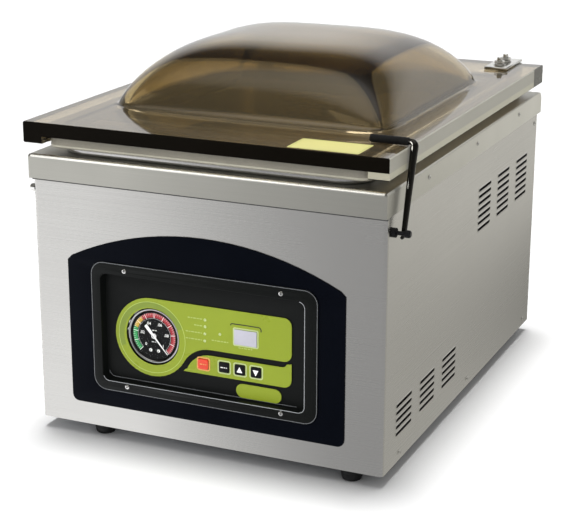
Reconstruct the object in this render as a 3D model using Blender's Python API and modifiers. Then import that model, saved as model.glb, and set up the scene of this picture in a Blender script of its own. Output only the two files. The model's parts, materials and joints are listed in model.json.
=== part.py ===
"""Table-top chamber vacuum sealer with a domed smoked-acrylic lid.

The machine is drawn in millimetres in its own axes: X to the right, Y to the back, Z up, with the
feet on Z = 0. Everything hangs from the empty "machine", which moves the middle of the footprint
to the origin at the end.
"""

import math

import bmesh
import bpy
from mathutils import Matrix, Vector

# ---------------------------------------------------------------- driving dimensions, in mm
MM = 0.001
GAP = 0.3  # air between two pieces that touch in the real machine
SHEET = 1.5  # stainless sheet of the casing

CASE_HALF = 188.0
CASE_FRONT = -250.5
CASE_REAR = 250.2
CASE_BOTTOM = 12.0
CASE_TOP = 267.7

DECK_HALF = 189.2
DECK_FRONT = -256.2
DECK_REAR = 262.0
DECK_BOTTOM = CASE_TOP + GAP
DECK_TOP = 293.0

CHAMBER_HALF = 150.0
CHAMBER_FRONT = -230.0
CHAMBER_REAR = 168.0
CHAMBER_FLOOR = 201.5
CHAMBER_CORNER = 16.0
TUB_WALL = 2.0
RIM_WIDTH = 14.5
RIM_TOP = 299.2

LID_HALF = 191.6
LID_FRONT = -259.0
LID_REAR = 252.5
LID_BOTTOM = 304.3
LID_TOP = 325.5
GASKET_HALF = 170.5
GASKET_FRONT = -251.0
GASKET_REAR = 189.0
GASKET_WIDTH = 12.0
GASKET_BOTTOM = 299.5
GROOVE_TOP = 311.6

DOME_HALF = 152.0
DOME_FRONT = -160.0
DOME_REAR = 140.0
DOME_HEIGHT = 65.0
DOME_WALL = 8.0

HINGE_X = 150.5  # of each hinge's middle, left and right
HINGE_Y = 258.5
HINGE_Z = 320.0
KNUCKLE_RADIUS = 5.3
PIN_RADIUS = 2.2
LEAF_HALF = 13.5

LATCH_Y = -205.0
LATCH_Z = LID_TOP + GAP + 4.0
LATCH_ARM_X = 196.0
LATCH_LEAN = math.radians(16.8)
LATCH_ARM = 87.2
LATCH_LIP = 5.0
STUD_Y = -239.0
STUD_Z = 252.0

PANEL_X = -1.2  # middle of the control panel
PANEL_Z = 122.0
PLATE_HALF = 149.7
PLATE_BOTTOM = 36.0
PLATE_TOP = 226.0
PLATE_ARCH = 326.0
BEZEL_HALF = (122.7, 68.0)
BEZEL_FACE = -253.4
RECESS_LEFT, RECESS_RIGHT = -113.5, 108.5
RECESS_BOTTOM, RECESS_TOP = 64.0, 178.0
RECESS_FLOOR = -242.0
OVERLAY_FACE = RECESS_FLOOR - 0.9

GAUGE_X, GAUGE_Z = -61.1, 114.8
SURROUND_X, SURROUND_Z = -62.0, 114.0  # the green surround is not quite concentric with the gauge
GAUGE_RADIUS = 29.6
GREEN_RADIUS = 41.0
GREEN_RIGHT = 90.0
BUTTONS = {"button_stop": -4.8, "button_set": 18.0, "button_up": 35.1, "button_down": 52.5}
BUTTON_Z = 94.8
BUTTON_HALF = (5.4, 5.2)
BUTTON_CORNER = 1.6

VENT_PITCH = 7.3
VENT_LENGTH = 44.0
VENT_HEIGHT = 3.2
REAR_VENTS = {"columns": (50.0, 119.5, 191.5), "rows": 7, "top": 227.0}
FRONT_VENTS = {"columns": (-194.5, -125.8, -57.0), "rows": 5, "top": 71.3}

SEAL_Y = -214.0
SEAL_HALF = (135.0, 8.0)
SEAL_BAR_BOTTOM, SEAL_BAR_TOP = 270.0, 288.6
PISTON_X = 100.0
PISTON_RADIUS = 5.0
PORT_X, PORT_Z = 84.0, 262.0

FEET = {
    "foot_front_left": (-123.0, -235.0),
    "foot_front_right": (152.0, -238.0),
    "foot_rear_left": (-150.0, 222.0),
    "foot_rear_right": (150.0, 222.0),
}

SOCKET_X, SWITCH_X, SOCKET_Z = 120.0, 80.0, 64.0

# colour, roughness, metallic
FINISHES = {
    "stainless": ((0.62, 0.61, 0.58), 0.32, 1.0),
    "polished_steel": ((0.72, 0.72, 0.70), 0.12, 1.0),
    "galvanised": ((0.45, 0.46, 0.47), 0.45, 1.0),
    "smoked_acrylic": ((0.16, 0.12, 0.07), 0.04, 0.0),
    "gasket_silicone": ((0.42, 0.39, 0.32), 0.55, 0.0),
    "black_rubber": ((0.02, 0.02, 0.02), 0.7, 0.0),
    "black_plastic": ((0.015, 0.016, 0.018), 0.35, 0.0),
    "black_gloss": ((0.008, 0.008, 0.01), 0.15, 0.0),
    "green_film": ((0.36, 0.47, 0.03), 0.35, 0.0),
    "red_plastic": ((0.75, 0.06, 0.03), 0.35, 0.0),
    "display_lens": ((0.72, 0.7, 0.85), 0.2, 0.0),
    "chrome": ((0.8, 0.8, 0.8), 0.06, 1.0),
    "dial_black": ((0.01, 0.01, 0.01), 0.5, 0.0),
    "needle_white": ((0.9, 0.9, 0.9), 0.4, 0.0),
    "clear_glass": ((0.9, 0.92, 0.92), 0.02, 0.0),
    "white_polyethylene": ((0.8, 0.8, 0.78), 0.5, 0.0),
    "aluminium": ((0.7, 0.7, 0.71), 0.35, 1.0),
    "ptfe_tape": ((0.35, 0.24, 0.12), 0.5, 0.0),
    "cast_housing": ((0.2, 0.22, 0.25), 0.5, 1.0),
    "motor_housing": ((0.12, 0.13, 0.15), 0.5, 1.0),
    "board_green": ((0.02, 0.18, 0.07), 0.5, 0.0),
    "copper_winding": ((0.55, 0.25, 0.1), 0.35, 1.0),
}

SIDES = {"left": -1, "right": 1}


# ---------------------------------------------------------------- scene and materials
def clear_scene():
    for old in list(bpy.data.objects):
        bpy.data.objects.remove(old)


clear_scene()
MODEL = bpy.data.collections.new("vacuum_sealer")
CUTTERS = bpy.data.collections.new("cutters")
bpy.context.scene.collection.children.link(MODEL)
bpy.context.scene.collection.children.link(CUTTERS)


def material(slot):
    found = bpy.data.materials.get(slot)
    if found:
        return found
    colour, roughness, metallic = FINISHES[slot]
    made = bpy.data.materials.new(slot)
    made.use_nodes = True
    shader = made.node_tree.nodes["Principled BSDF"]
    shader.inputs["Base Color"].default_value = (*colour, 1)
    shader.inputs["Roughness"].default_value = roughness
    shader.inputs["Metallic"].default_value = metallic
    return made


def move_to(obj, collection):
    for old in list(obj.users_collection):
        old.objects.unlink(obj)
    collection.objects.link(obj)


def pivot(name, x, y, z, parent=None):
    """An empty on a joint's axis."""
    empty = bpy.data.objects.new(name, None)
    MODEL.objects.link(empty)
    empty.location = Vector((x, y, z)) * MM
    if parent:
        attach(empty, parent)
    return empty


def world_location(obj):
    here = Vector((0, 0, 0))
    while obj:
        here += obj.location if not obj.parent else obj.matrix_parent_inverse @ obj.location
        obj = obj.parent
    return here


def attach(obj, parent):
    """Parents obj without moving it; none of the parents is turned."""
    obj.parent = parent
    obj.matrix_parent_inverse = Matrix.Translation(-world_location(parent))
    for modifier in obj.modifiers:
        if modifier.type == "BOOLEAN":
            attach(modifier.object, parent)


def finish(obj, name, slot, parent):
    """Names a piece, gives it its material, and hangs it and its cutters on its parent."""
    obj.name = name
    obj.data.name = name
    obj.data.materials.clear()
    obj.data.materials.append(material(slot))
    move_to(obj, MODEL)
    attach(obj, parent)
    if obj.type == "MESH":
        obj.data.shade_smooth()
        obj.data.set_sharp_from_angle(angle=math.radians(35))
    return obj


# ---------------------------------------------------------------- shapes
def box(x, y, z, bevel=0.0, segments=2):
    """A box between two corners; x, y and z are (low, high) in mm."""
    bpy.ops.mesh.primitive_cube_add(size=1)
    obj = bpy.context.object
    sizes = [(high - low) * MM for low, high in (x, y, z)]
    obj.data.transform(Matrix.Diagonal((*sizes, 1)))
    obj.location = [(low + high) / 2 * MM for low, high in (x, y, z)]
    if bevel:
        add_bevel(obj, bevel, segments)
    return obj


def add_bevel(obj, width, segments=2):
    rounding = obj.modifiers.new("rounding", "BEVEL")
    rounding.width = width * MM
    rounding.segments = segments
    rounding.limit_method = "ANGLE"


TURN = {"X": (0, math.pi / 2, 0), "-X": (0, -math.pi / 2, 0), "Y": (-math.pi / 2, 0, 0),
        "-Y": (math.pi / 2, 0, 0), "Z": (0, 0, 0)}


def cylinder(centre, radius, length, axis="Z", vertices=24):
    bpy.ops.mesh.primitive_cylinder_add(
        radius=radius * MM, depth=length * MM, vertices=vertices,
        location=Vector(centre) * MM, rotation=TURN[axis])
    return bpy.context.object


def turned(profile, base, axis="Z", steps=24):
    """A solid of revolution: (radius, height) points from the top down, height along axis from base."""
    mesh = bpy.data.meshes.new("turned")
    shape = bmesh.new()
    points = [shape.verts.new((radius * MM, 0, height * MM)) for radius, height in profile]
    for first, second in zip(points, points[1:]):
        shape.edges.new((first, second))
    shape.to_mesh(mesh)
    shape.free()
    obj = bpy.data.objects.new("turned", mesh)
    MODEL.objects.link(obj)
    obj.location = Vector(base) * MM
    obj.rotation_euler = TURN[axis]
    screw = obj.modifiers.new("turning", "SCREW")
    screw.steps = steps
    screw.render_steps = steps
    screw.use_merge_vertices = True
    screw.merge_threshold = 0.00001
    return obj


def ring_profile(inner, outer, low, high):
    """The closed section of a ring, as turned() wants it."""
    return [(inner, high), (outer, high), (outer, low), (inner, low), (inner, high)]


def arc(centre, radius, start, end, steps=6):
    """Points on an arc, angles in degrees."""
    angles = [math.radians(start + (end - start) * i / steps) for i in range(steps + 1)]
    return [(centre[0] + radius * math.cos(a), centre[1] + radius * math.sin(a)) for a in angles]


def rounded_rectangle(x, y, radius, steps=4):
    (x0, x1), (y0, y1) = x, y
    corners = [(x1 - radius, y1 - radius, 0), (x0 + radius, y1 - radius, 90),
               (x0 + radius, y0 + radius, 180), (x1 - radius, y0 + radius, 270)]
    points = []
    for cx, cy, start in corners:
        points += arc((cx, cy), radius, start, start + 90, steps)
    return points


def as_mesh(obj):
    """Turns a curve into a mesh with welded caps, so that it can be cut or joined."""
    bpy.context.view_layer.update()
    evaluated = obj.evaluated_get(bpy.context.evaluated_depsgraph_get())
    mesh = bpy.data.meshes.new_from_object(evaluated)
    shape = bmesh.new()
    shape.from_mesh(mesh)
    bmesh.ops.remove_doubles(shape, verts=shape.verts, dist=0.00001)
    bmesh.ops.recalc_face_normals(shape, faces=shape.faces)
    shape.to_mesh(mesh)
    shape.free()
    made = bpy.data.objects.new("solid", mesh)
    MODEL.objects.link(made)
    made.matrix_world = obj.matrix_world
    bpy.data.objects.remove(obj)
    return made


PLANES = {"XY": (0, 0, 0), "XZ": (math.pi / 2, 0, 0), "YZ": (math.pi / 2, 0, math.pi / 2)}


def plate(outlines, plane, low, high):
    """A flat plate: closed outlines in a plane, from low to high along the third axis."""
    curve = bpy.data.curves.new("plate", "CURVE")
    curve.dimensions = "2D"
    curve.fill_mode = "BOTH"
    curve.extrude = (high - low) / 2 * MM
    for outline in outlines:
        spline = curve.splines.new("POLY")
        spline.points.add(len(outline) - 1)
        for point, (u, v) in zip(spline.points, outline):
            point.co = (u * MM, v * MM, 0, 1)
        spline.use_cyclic_u = True
    obj = bpy.data.objects.new("plate", curve)
    MODEL.objects.link(obj)
    obj.rotation_euler = PLANES[plane]
    obj.location["XYZ".index(({"X", "Y", "Z"} - set(plane)).pop())] = (low + high) / 2 * MM
    return as_mesh(obj)


def tube(points, radii, resolution=3):
    """A round bar through points, with a radius at each point."""
    curve = bpy.data.curves.new("tube", "CURVE")
    curve.dimensions = "3D"
    curve.bevel_depth = MM
    curve.bevel_resolution = resolution
    curve.use_fill_caps = True
    spline = curve.splines.new("POLY")
    spline.points.add(len(points) - 1)
    for point, where, radius in zip(spline.points, points, radii):
        point.co = (*(Vector(where) * MM), 1)
        point.radius = radius
    obj = bpy.data.objects.new("tube", curve)
    MODEL.objects.link(obj)
    return as_mesh(obj)


def boolean(obj, others, operation):
    for other in others:
        step = obj.modifiers.new(operation.lower(), "BOOLEAN")
        step.operation = operation
        step.solver = "EXACT"
        step.object = other
        other.hide_render = True
        other.display_type = "WIRE"
        other.name = "cutter"
        move_to(other, CUTTERS)
    return obj


def cut(obj, *others):
    return boolean(obj, others, "DIFFERENCE")


def join(obj, *others):
    return boolean(obj, others, "UNION")


def bent_sheet(path, bottom, top, thickness):
    """A sheet on edge that follows a plan path along its mid-line."""
    mesh = bpy.data.meshes.new("sheet")
    shape = bmesh.new()
    points = [shape.verts.new((x * MM, y * MM, bottom * MM)) for x, y in path]
    edges = [shape.edges.new(pair) for pair in zip(points, points[1:])]
    raised = bmesh.ops.extrude_edge_only(shape, edges=edges)["geom"]
    moved = [v for v in raised if isinstance(v, bmesh.types.BMVert)]
    bmesh.ops.translate(shape, verts=moved, vec=(0, 0, (top - bottom) * MM))
    shape.to_mesh(mesh)
    shape.free()
    obj = bpy.data.objects.new("sheet", mesh)
    MODEL.objects.link(obj)
    solid = obj.modifiers.new("thickness", "SOLIDIFY")
    solid.thickness = thickness * MM
    solid.offset = 0
    solid.use_even_offset = True
    return obj


def swell(u, v):
    """Height of the blown dome over its footprint, 0 at the foot and 1 on top; u, v from -1 to 1."""
    return ((1 - abs(u) ** 3.6) * (1 - abs(v) ** 3.5)) ** 0.57


def pillow(half, front, rear, base, height, floor, cells):
    """A closed solid with a blown top over a rectangle, down to a flat floor."""
    mesh = bpy.data.meshes.new("pillow")
    shape = bmesh.new()
    bmesh.ops.create_grid(shape, x_segments=cells, y_segments=cells, size=1)
    skin = list(shape.faces)
    floor_edges = bmesh.ops.extrude_face_region(shape, geom=skin)["geom"]
    top = {v for v in floor_edges if isinstance(v, bmesh.types.BMVert)}
    for vert in shape.verts:
        u = math.sin(vert.co.x * math.pi / 2)
        v = math.sin(vert.co.y * math.pi / 2)
        z = base + height * swell(u, v) if vert in top else floor
        vert.co = Vector((u * half, (front + rear) / 2 + v * (rear - front) / 2, z)) * MM
    bmesh.ops.dissolve_limit(
        shape, angle_limit=0.001, verts=[v for v in shape.verts if v not in top],
        edges=[e for e in shape.edges if not any(v in top for v in e.verts)])
    bmesh.ops.recalc_face_normals(shape, faces=shape.faces)
    shape.to_mesh(mesh)
    shape.free()
    obj = bpy.data.objects.new("pillow", mesh)
    MODEL.objects.link(obj)
    return obj


# ---------------------------------------------------------------- casing
def vent_slots():
    """All side louvres as one cutter that runs through both side walls."""
    outlines = []
    end = VENT_HEIGHT / 2
    for group in (REAR_VENTS, FRONT_VENTS):
        for middle in group["columns"]:
            for row in range(group["rows"]):
                z = group["top"] - row * VENT_PITCH
                reach = VENT_LENGTH / 2 - end
                outlines.append(arc((middle + reach, z), end, -90, 90, 3)
                                + arc((middle - reach, z), end, 90, 270, 3))
    return plate(outlines, "YZ", -CASE_HALF - 5, CASE_HALF + 5)


def panel_opening(margin, low, high):
    opening = rounded_rectangle(
        (RECESS_LEFT - margin, RECESS_RIGHT + margin), (RECESS_BOTTOM - margin, RECESS_TOP + margin), 8)
    return plate([opening], "XZ", low, high)


def build_casing(machine):
    half, front = CASE_HALF - SHEET / 2, CASE_FRONT + SHEET / 2
    bend = 3.0
    path = ([(-half, CASE_REAR)] + arc((-half + bend, front + bend), bend, 180, 270, 3)
            + arc((half - bend, front + bend), bend, 270, 360, 3) + [(half, CASE_REAR)])
    wrap = bent_sheet(path, CASE_BOTTOM, CASE_TOP, SHEET)
    cut(wrap, vent_slots(), panel_opening(3.0, CASE_FRONT - 10, CASE_FRONT + 10))
    finish(wrap, "casing_wrap", "stainless", machine)

    inner = CASE_HALF - SHEET - GAP
    outer = rounded_rectangle((-inner, inner), (CASE_FRONT + SHEET + GAP, 246.7), 4, 2)
    pan = plate([outer], "XY", CASE_BOTTOM, 32)
    cut(pan, box((-inner + SHEET, inner - SHEET), (CASE_FRONT + 2 * SHEET + GAP, 245.2),
                 (CASE_BOTTOM + SHEET, 40)))
    finish(pan, "base_pan", "galvanised", machine)

    cover = box((-inner, inner), (247.0, 247.0 + SHEET), (CASE_BOTTOM + 2, 267.4))
    slots = [rounded_rectangle((x - 30, x + 30), (z - 1.6, z + 1.6), 1.5, 2)
             for x in (-90.0, -10.0) for z in (150, 162, 174, 186)]
    cut(cover, plate(slots, "XZ", 240, 255),
        box((SOCKET_X - 14, SOCKET_X + 14), (240, 255), (SOCKET_Z - 10.5, SOCKET_Z + 10.5)),
        box((SWITCH_X - 11, SWITCH_X + 11), (240, 255), (SOCKET_Z - 8, SOCKET_Z + 8)))
    finish(cover, "rear_cover", "galvanised", machine)

    hole = rounded_rectangle((-inner + 3, inner - 3), (CASE_FRONT + SHEET + GAP + 3, 243.7), 2, 1)
    frame = plate([outer, hole], "XY", 250.0, DECK_TOP - 10 - GAP)
    finish(frame, "support_frame", "galvanised", machine)


def round_deck(obj):
    """Rolls the deck's top edges: a small radius at the front and sides, a large one at the back."""
    shape = bmesh.new()
    shape.from_mesh(obj.data)
    top = max(v.co.z for v in shape.verts)
    back = max(v.co.y for v in shape.verts)

    def on_top(edge):
        return all(abs(v.co.z - top) < 1e-6 for v in edge.verts)

    def at_back(edge):
        return all(abs(v.co.y - back) < 1e-6 for v in edge.verts)

    rear = [e for e in shape.edges if on_top(e) and at_back(e)]
    bmesh.ops.bevel(shape, geom=rear, offset=10 * MM, segments=4, profile=0.5, affect="EDGES")
    front = [e for e in shape.edges if on_top(e) and not at_back(e) and e.calc_length() > 0.1
             and min(v.co.y for v in e.verts) < 0]
    bmesh.ops.bevel(shape, geom=front, offset=3 * MM, segments=2, profile=0.5, affect="EDGES")
    shape.to_mesh(obj.data)
    shape.free()


def build_deck(machine):
    deck = box((-DECK_HALF, DECK_HALF), (DECK_FRONT, DECK_REAR), (DECK_BOTTOM, DECK_TOP))
    round_deck(deck)
    hollow = box((-DECK_HALF + SHEET, DECK_HALF - SHEET), (DECK_FRONT + SHEET, DECK_REAR - SHEET),
                 (DECK_BOTTOM - 5, DECK_TOP - 10))
    upper = box((-DECK_HALF + 3 + SHEET, DECK_HALF - 3 - SHEET), (DECK_FRONT + 3 + SHEET, DECK_REAR - 11),
                (DECK_BOTTOM, DECK_TOP - SHEET))
    margin = TUB_WALL + 1.0
    mouth = rounded_rectangle((-CHAMBER_HALF - margin, CHAMBER_HALF + margin),
                              (CHAMBER_FRONT - margin, CHAMBER_REAR + margin), CHAMBER_CORNER + margin)
    cut(deck, hollow, upper, plate([mouth], "XY", DECK_BOTTOM, DECK_TOP + 5))
    finish(deck, "deck", "stainless", machine)


def build_chamber(machine):
    def outline(margin):
        return [rounded_rectangle((-CHAMBER_HALF - margin, CHAMBER_HALF + margin),
                                  (CHAMBER_FRONT - margin, CHAMBER_REAR + margin),
                                  CHAMBER_CORNER + margin, 5)]

    tub = plate(outline(TUB_WALL), "XY", CHAMBER_FLOOR - TUB_WALL, RIM_TOP - 2)
    rim = plate(outline(RIM_WIDTH), "XY", DECK_TOP + GAP, RIM_TOP)
    join(tub, rim)
    cut(tub, plate(outline(0), "XY", CHAMBER_FLOOR, RIM_TOP + 5))
    for side in SIDES.values():
        cut(tub, cylinder((side * PISTON_X, SEAL_Y, CHAMBER_FLOOR), PISTON_RADIUS + 0.5, 20, "Z", 16))
    cut(tub, cylinder((PORT_X, CHAMBER_REAR, PORT_Z), 9.3, 20, "Y", 20))
    finish(tub, "chamber_tub", "stainless", machine)

    port = turned([(0, 24), (8.8, 24), (8.8, 0), (14, 0), (14, -3), (0, -3)],
                  (PORT_X, CHAMBER_REAR - GAP, PORT_Z), "Y", 20)
    finish(port, "vacuum_port", "polished_steel", machine)

    filler = box((-146, 146), (-198, 160), (CHAMBER_FLOOR + GAP, CHAMBER_FLOOR + GAP + 12), 1.5, 1)
    finish(filler, "filler_plate", "white_polyethylene",
           pivot("filler_lift", 0, 0, CHAMBER_FLOOR, machine))


def build_seal_bar(machine):
    lift = pivot("seal_bar_lift", 0, SEAL_Y, SEAL_BAR_BOTTOM, machine)
    half_x, half_y = SEAL_HALF
    bar = box((-half_x, half_x), (SEAL_Y - half_y, SEAL_Y + half_y), (SEAL_BAR_BOTTOM, SEAL_BAR_TOP), 1, 1)
    finish(bar, "seal_bar", "aluminium", lift)
    strip = box((-half_x + 3, half_x - 3), (SEAL_Y - 5, SEAL_Y + 5),
                (SEAL_BAR_TOP + GAP, SEAL_BAR_TOP + GAP + 1.2))
    finish(strip, "seal_heat_strip", "ptfe_tape", lift)
    for side, sign in SIDES.items():
        low = CHAMBER_FLOOR - 12
        rod = cylinder((sign * PISTON_X, SEAL_Y, (low + SEAL_BAR_BOTTOM - GAP) / 2), PISTON_RADIUS,
                       SEAL_BAR_BOTTOM - GAP - low, "Z", 16)
        finish(rod, f"seal_piston_{side}", "polished_steel", lift)


# ---------------------------------------------------------------- lid
def build_lid(lid_axis):
    lid = box((-LID_HALF, LID_HALF), (LID_FRONT, LID_REAR), (LID_BOTTOM, LID_TOP), 1.0, 1)
    join(lid, pillow(DOME_HALF, DOME_FRONT, DOME_REAR, LID_TOP, DOME_HEIGHT, LID_TOP - 8, 26))
    cut(lid, pillow(DOME_HALF - DOME_WALL, DOME_FRONT + DOME_WALL, DOME_REAR - DOME_WALL,
                    LID_TOP - 1, DOME_HEIGHT - DOME_WALL + 1, LID_BOTTOM - 5, 24))
    groove = [rounded_rectangle((-GASKET_HALF - 0.5, GASKET_HALF + 0.5),
                                (GASKET_FRONT - 0.5, GASKET_REAR + 0.5), 12),
              rounded_rectangle((-GASKET_HALF + GASKET_WIDTH + 0.5, GASKET_HALF - GASKET_WIDTH - 0.5),
                                (GASKET_FRONT + GASKET_WIDTH + 0.5, GASKET_REAR - GASKET_WIDTH - 0.5), 5)]
    cut(lid, plate(groove, "XY", LID_BOTTOM - 5, GROOVE_TOP))
    grip = rounded_rectangle((-GASKET_HALF - 0.5, GASKET_HALF + 0.5), (LID_FRONT - 12, -244.0), 4)
    cut(lid, plate([grip], "XY", LID_BOTTOM - 5, GROOVE_TOP))
    for side in SIDES.values():
        for y in (214.0, 238.0):
            cut(lid, cylinder((side * HINGE_X, y, LID_TOP), 2.4, 24, "Z", 12))
    finish(lid, "lid", "smoked_acrylic", lid_axis)

    ring = [rounded_rectangle((-GASKET_HALF, GASKET_HALF), (GASKET_FRONT, GASKET_REAR), 11.5),
            rounded_rectangle((-GASKET_HALF + GASKET_WIDTH, GASKET_HALF - GASKET_WIDTH),
                              (GASKET_FRONT + GASKET_WIDTH, GASKET_REAR - GASKET_WIDTH), 5.5)]
    finish(plate(ring, "XY", GASKET_BOTTOM, GROOVE_TOP - GAP), "lid_gasket", "gasket_silicone", lid_axis)

    half_x, half_y = SEAL_HALF
    backing = box((-half_x, half_x), (SEAL_Y - half_y, SEAL_Y + half_y), (301.5, LID_BOTTOM - GAP))
    finish(backing, "backing_bar", "aluminium", lid_axis)
    pad = box((-half_x + 2, half_x - 2), (SEAL_Y - 6, SEAL_Y + 6), (300.0, 301.5 - GAP))
    finish(pad, "backing_silicone", "gasket_silicone", lid_axis)


def build_hinges(machine, lid_axis):
    knuckle_half = 7.5
    for side, sign in SIDES.items():
        x = sign * HINGE_X
        leaf = box((x - LEAF_HALF, x + LEAF_HALF), (197, 262), (LID_TOP + GAP, LID_TOP + GAP + 3), 0.8, 1)
        web = box((x - knuckle_half, x + knuckle_half), (HINGE_Y - 3, HINGE_Y + 3), (HINGE_Z, LID_TOP + 1))
        barrel = cylinder((x, HINGE_Y, HINGE_Z), KNUCKLE_RADIUS, 2 * knuckle_half, "X", 20)
        join(barrel, web, leaf)
        cut(barrel, cylinder((x, HINGE_Y, HINGE_Z), PIN_RADIUS + GAP, 40, "X", 16))
        for y in (214.0, 238.0):
            cut(barrel, cylinder((x, y, LID_TOP + 2), 2.4, 12, "Z", 12))
            screw = turned([(0, 6.2), (2.6, 6.0), (4.0, 4.6), (4.0, 0), (2.0, 0), (2.0, -13), (0, -13)],
                           (x, y, LID_TOP + 2 * GAP + 3), "Z", 16)
            rank = "front" if y < 220 else "rear"
            finish(screw, f"hinge_screw_{side}_{rank}", "polished_steel", lid_axis)
        finish(barrel, f"hinge_leaf_{side}", "polished_steel", lid_axis)

        back = HINGE_Y + KNUCKLE_RADIUS
        outline = ([(215, DECK_TOP + GAP), (back, DECK_TOP + GAP)]
                   + arc((HINGE_Y, HINGE_Z), KNUCKLE_RADIUS, 0, 180, 8)
                   + [(HINGE_Y - KNUCKLE_RADIUS, DECK_TOP + 4.3), (215, DECK_TOP + 4.3)])
        bracket = plate([outline], "YZ", x - LEAF_HALF, x + LEAF_HALF)
        slot = box((x - knuckle_half - GAP, x + knuckle_half + GAP), (240, 280), (DECK_TOP + 10, 340))
        cut(bracket, slot, cylinder((x, HINGE_Y, HINGE_Z), PIN_RADIUS + GAP, 40, "X", 16))
        finish(bracket, f"hinge_bracket_{side}", "polished_steel", machine)
        pin = cylinder((x, HINGE_Y, HINGE_Z), PIN_RADIUS, 2 * LEAF_HALF, "X", 16)
        finish(pin, f"hinge_pin_{side}", "polished_steel", machine)


# ---------------------------------------------------------------- latch
def latch_path():
    """From inside the sleeve out to the right, round the bend and down the leaning arm."""
    bend = 4.0
    points = [(156, LATCH_Y, LATCH_Z), (LATCH_ARM_X - bend, LATCH_Y, LATCH_Z)]
    down = Vector((0, -math.sin(LATCH_LEAN), -math.cos(LATCH_LEAN)))
    hub = Vector((LATCH_ARM_X - bend, LATCH_Y, LATCH_Z)) + down * bend
    for i in range(1, 5):
        angle = math.radians(90 * i / 4)
        points.append(hub - down * bend * math.cos(angle) + Vector((bend * math.sin(angle), 0, 0)))
    for reach in (25, 60, LATCH_ARM):
        points.append(Vector((LATCH_ARM_X, LATCH_Y, LATCH_Z)) + down * reach)
    return points, [2.2, 2.2, 2.9, 3.6, 3.9, 3.9, 3.8, 3.2, 2.9]


def build_latch(machine, lid_axis):
    sleeve = turned(ring_profile(2.6, 3.9, 0, 38), (152.5, LATCH_Y, LATCH_Z), "X", 20)
    finish(sleeve, "latch_sleeve", "black_rubber", lid_axis)

    swing = pivot("latch_swing", LATCH_ARM_X, LATCH_Y, LATCH_Z, lid_axis)
    points, radii = latch_path()
    arm = tube(points, radii, 3)
    foot = points[-1]
    lip = box((foot.x - 2.2, foot.x + 2.2), (foot.y - LATCH_LIP, foot.y), (foot.z - 1.4, foot.z + 1.8))
    join(arm, lip)
    finish(arm, "latch_arm", "chrome", swing)

    stud = turned([(0, 18.2), (2.6, 18.0), (3.6, 16.8), (3.6, 13.2), (2.0, 12.6), (2.0, 4.0),
                   (4.6, 4.0), (4.6, 0), (0, 0)], (CASE_HALF + GAP, STUD_Y, STUD_Z), "X", 18)
    finish(stud, "latch_stud", "black_plastic", machine)
    nut = turned([(0, 7.5), (2.2, 7.0), (3.6, 5.2), (4.2, 2.5), (4.2, 0), (0, 0)],
                 (-CASE_HALF - GAP, -244.5, 255.5), "-X", 18)
    finish(nut, "side_cap_nut", "polished_steel", machine)


# ---------------------------------------------------------------- control panel
def arched_outline():
    """The front plate: flat bottom with round corners and an arched top."""
    left, right = PANEL_X - PLATE_HALF, PANEL_X + PLATE_HALF
    corner = 7.0
    spread = math.degrees(math.asin((PLATE_HALF - 5) / PLATE_ARCH))
    top = arc((PANEL_X, PLATE_TOP - PLATE_ARCH), PLATE_ARCH, 90 - spread, 90 + spread, 20)
    shoulder = top[0][1] - 5
    return (arc((left + corner, PLATE_BOTTOM + corner), corner, 180, 270, 4)
            + arc((right - corner, PLATE_BOTTOM + corner), corner, 270, 360, 4)
            + [(right, shoulder)] + top + [(left, shoulder)])


def green_panel_outline():
    """Gauge surround and upper panel in one, with the swoop between them."""
    corner, top, bottom = 8.0, SURROUND_Z + GREEN_RADIUS, 110.5
    swoop = 34.0
    right = GREEN_RIGHT - corner
    return (arc((SURROUND_X, SURROUND_Z), GREEN_RADIUS, -30, -270, 30)
            + arc((right, top - corner), corner, 90, 0, 4)
            + arc((right, bottom + corner), corner, 0, -90, 4)
            + arc((2.9, bottom - swoop), swoop, 90, 150, 8)[:-1])


def green_strip_outline():
    """Button strip under the upper panel; its top follows the swoop."""
    bottom, top = 84.0, 104.5
    return ([(-26.8, bottom)] + arc((GREEN_RIGHT - 8, bottom + 8), 8, 270, 360, 4)
            + [(GREEN_RIGHT, 109.0)] + arc((GREEN_RIGHT - 10, 109.5), 5, -20, -90, 3)
            + arc((2.9, 76.5), 28, 90, 158, 8) + [(-25.6, bottom + 2)])


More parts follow.
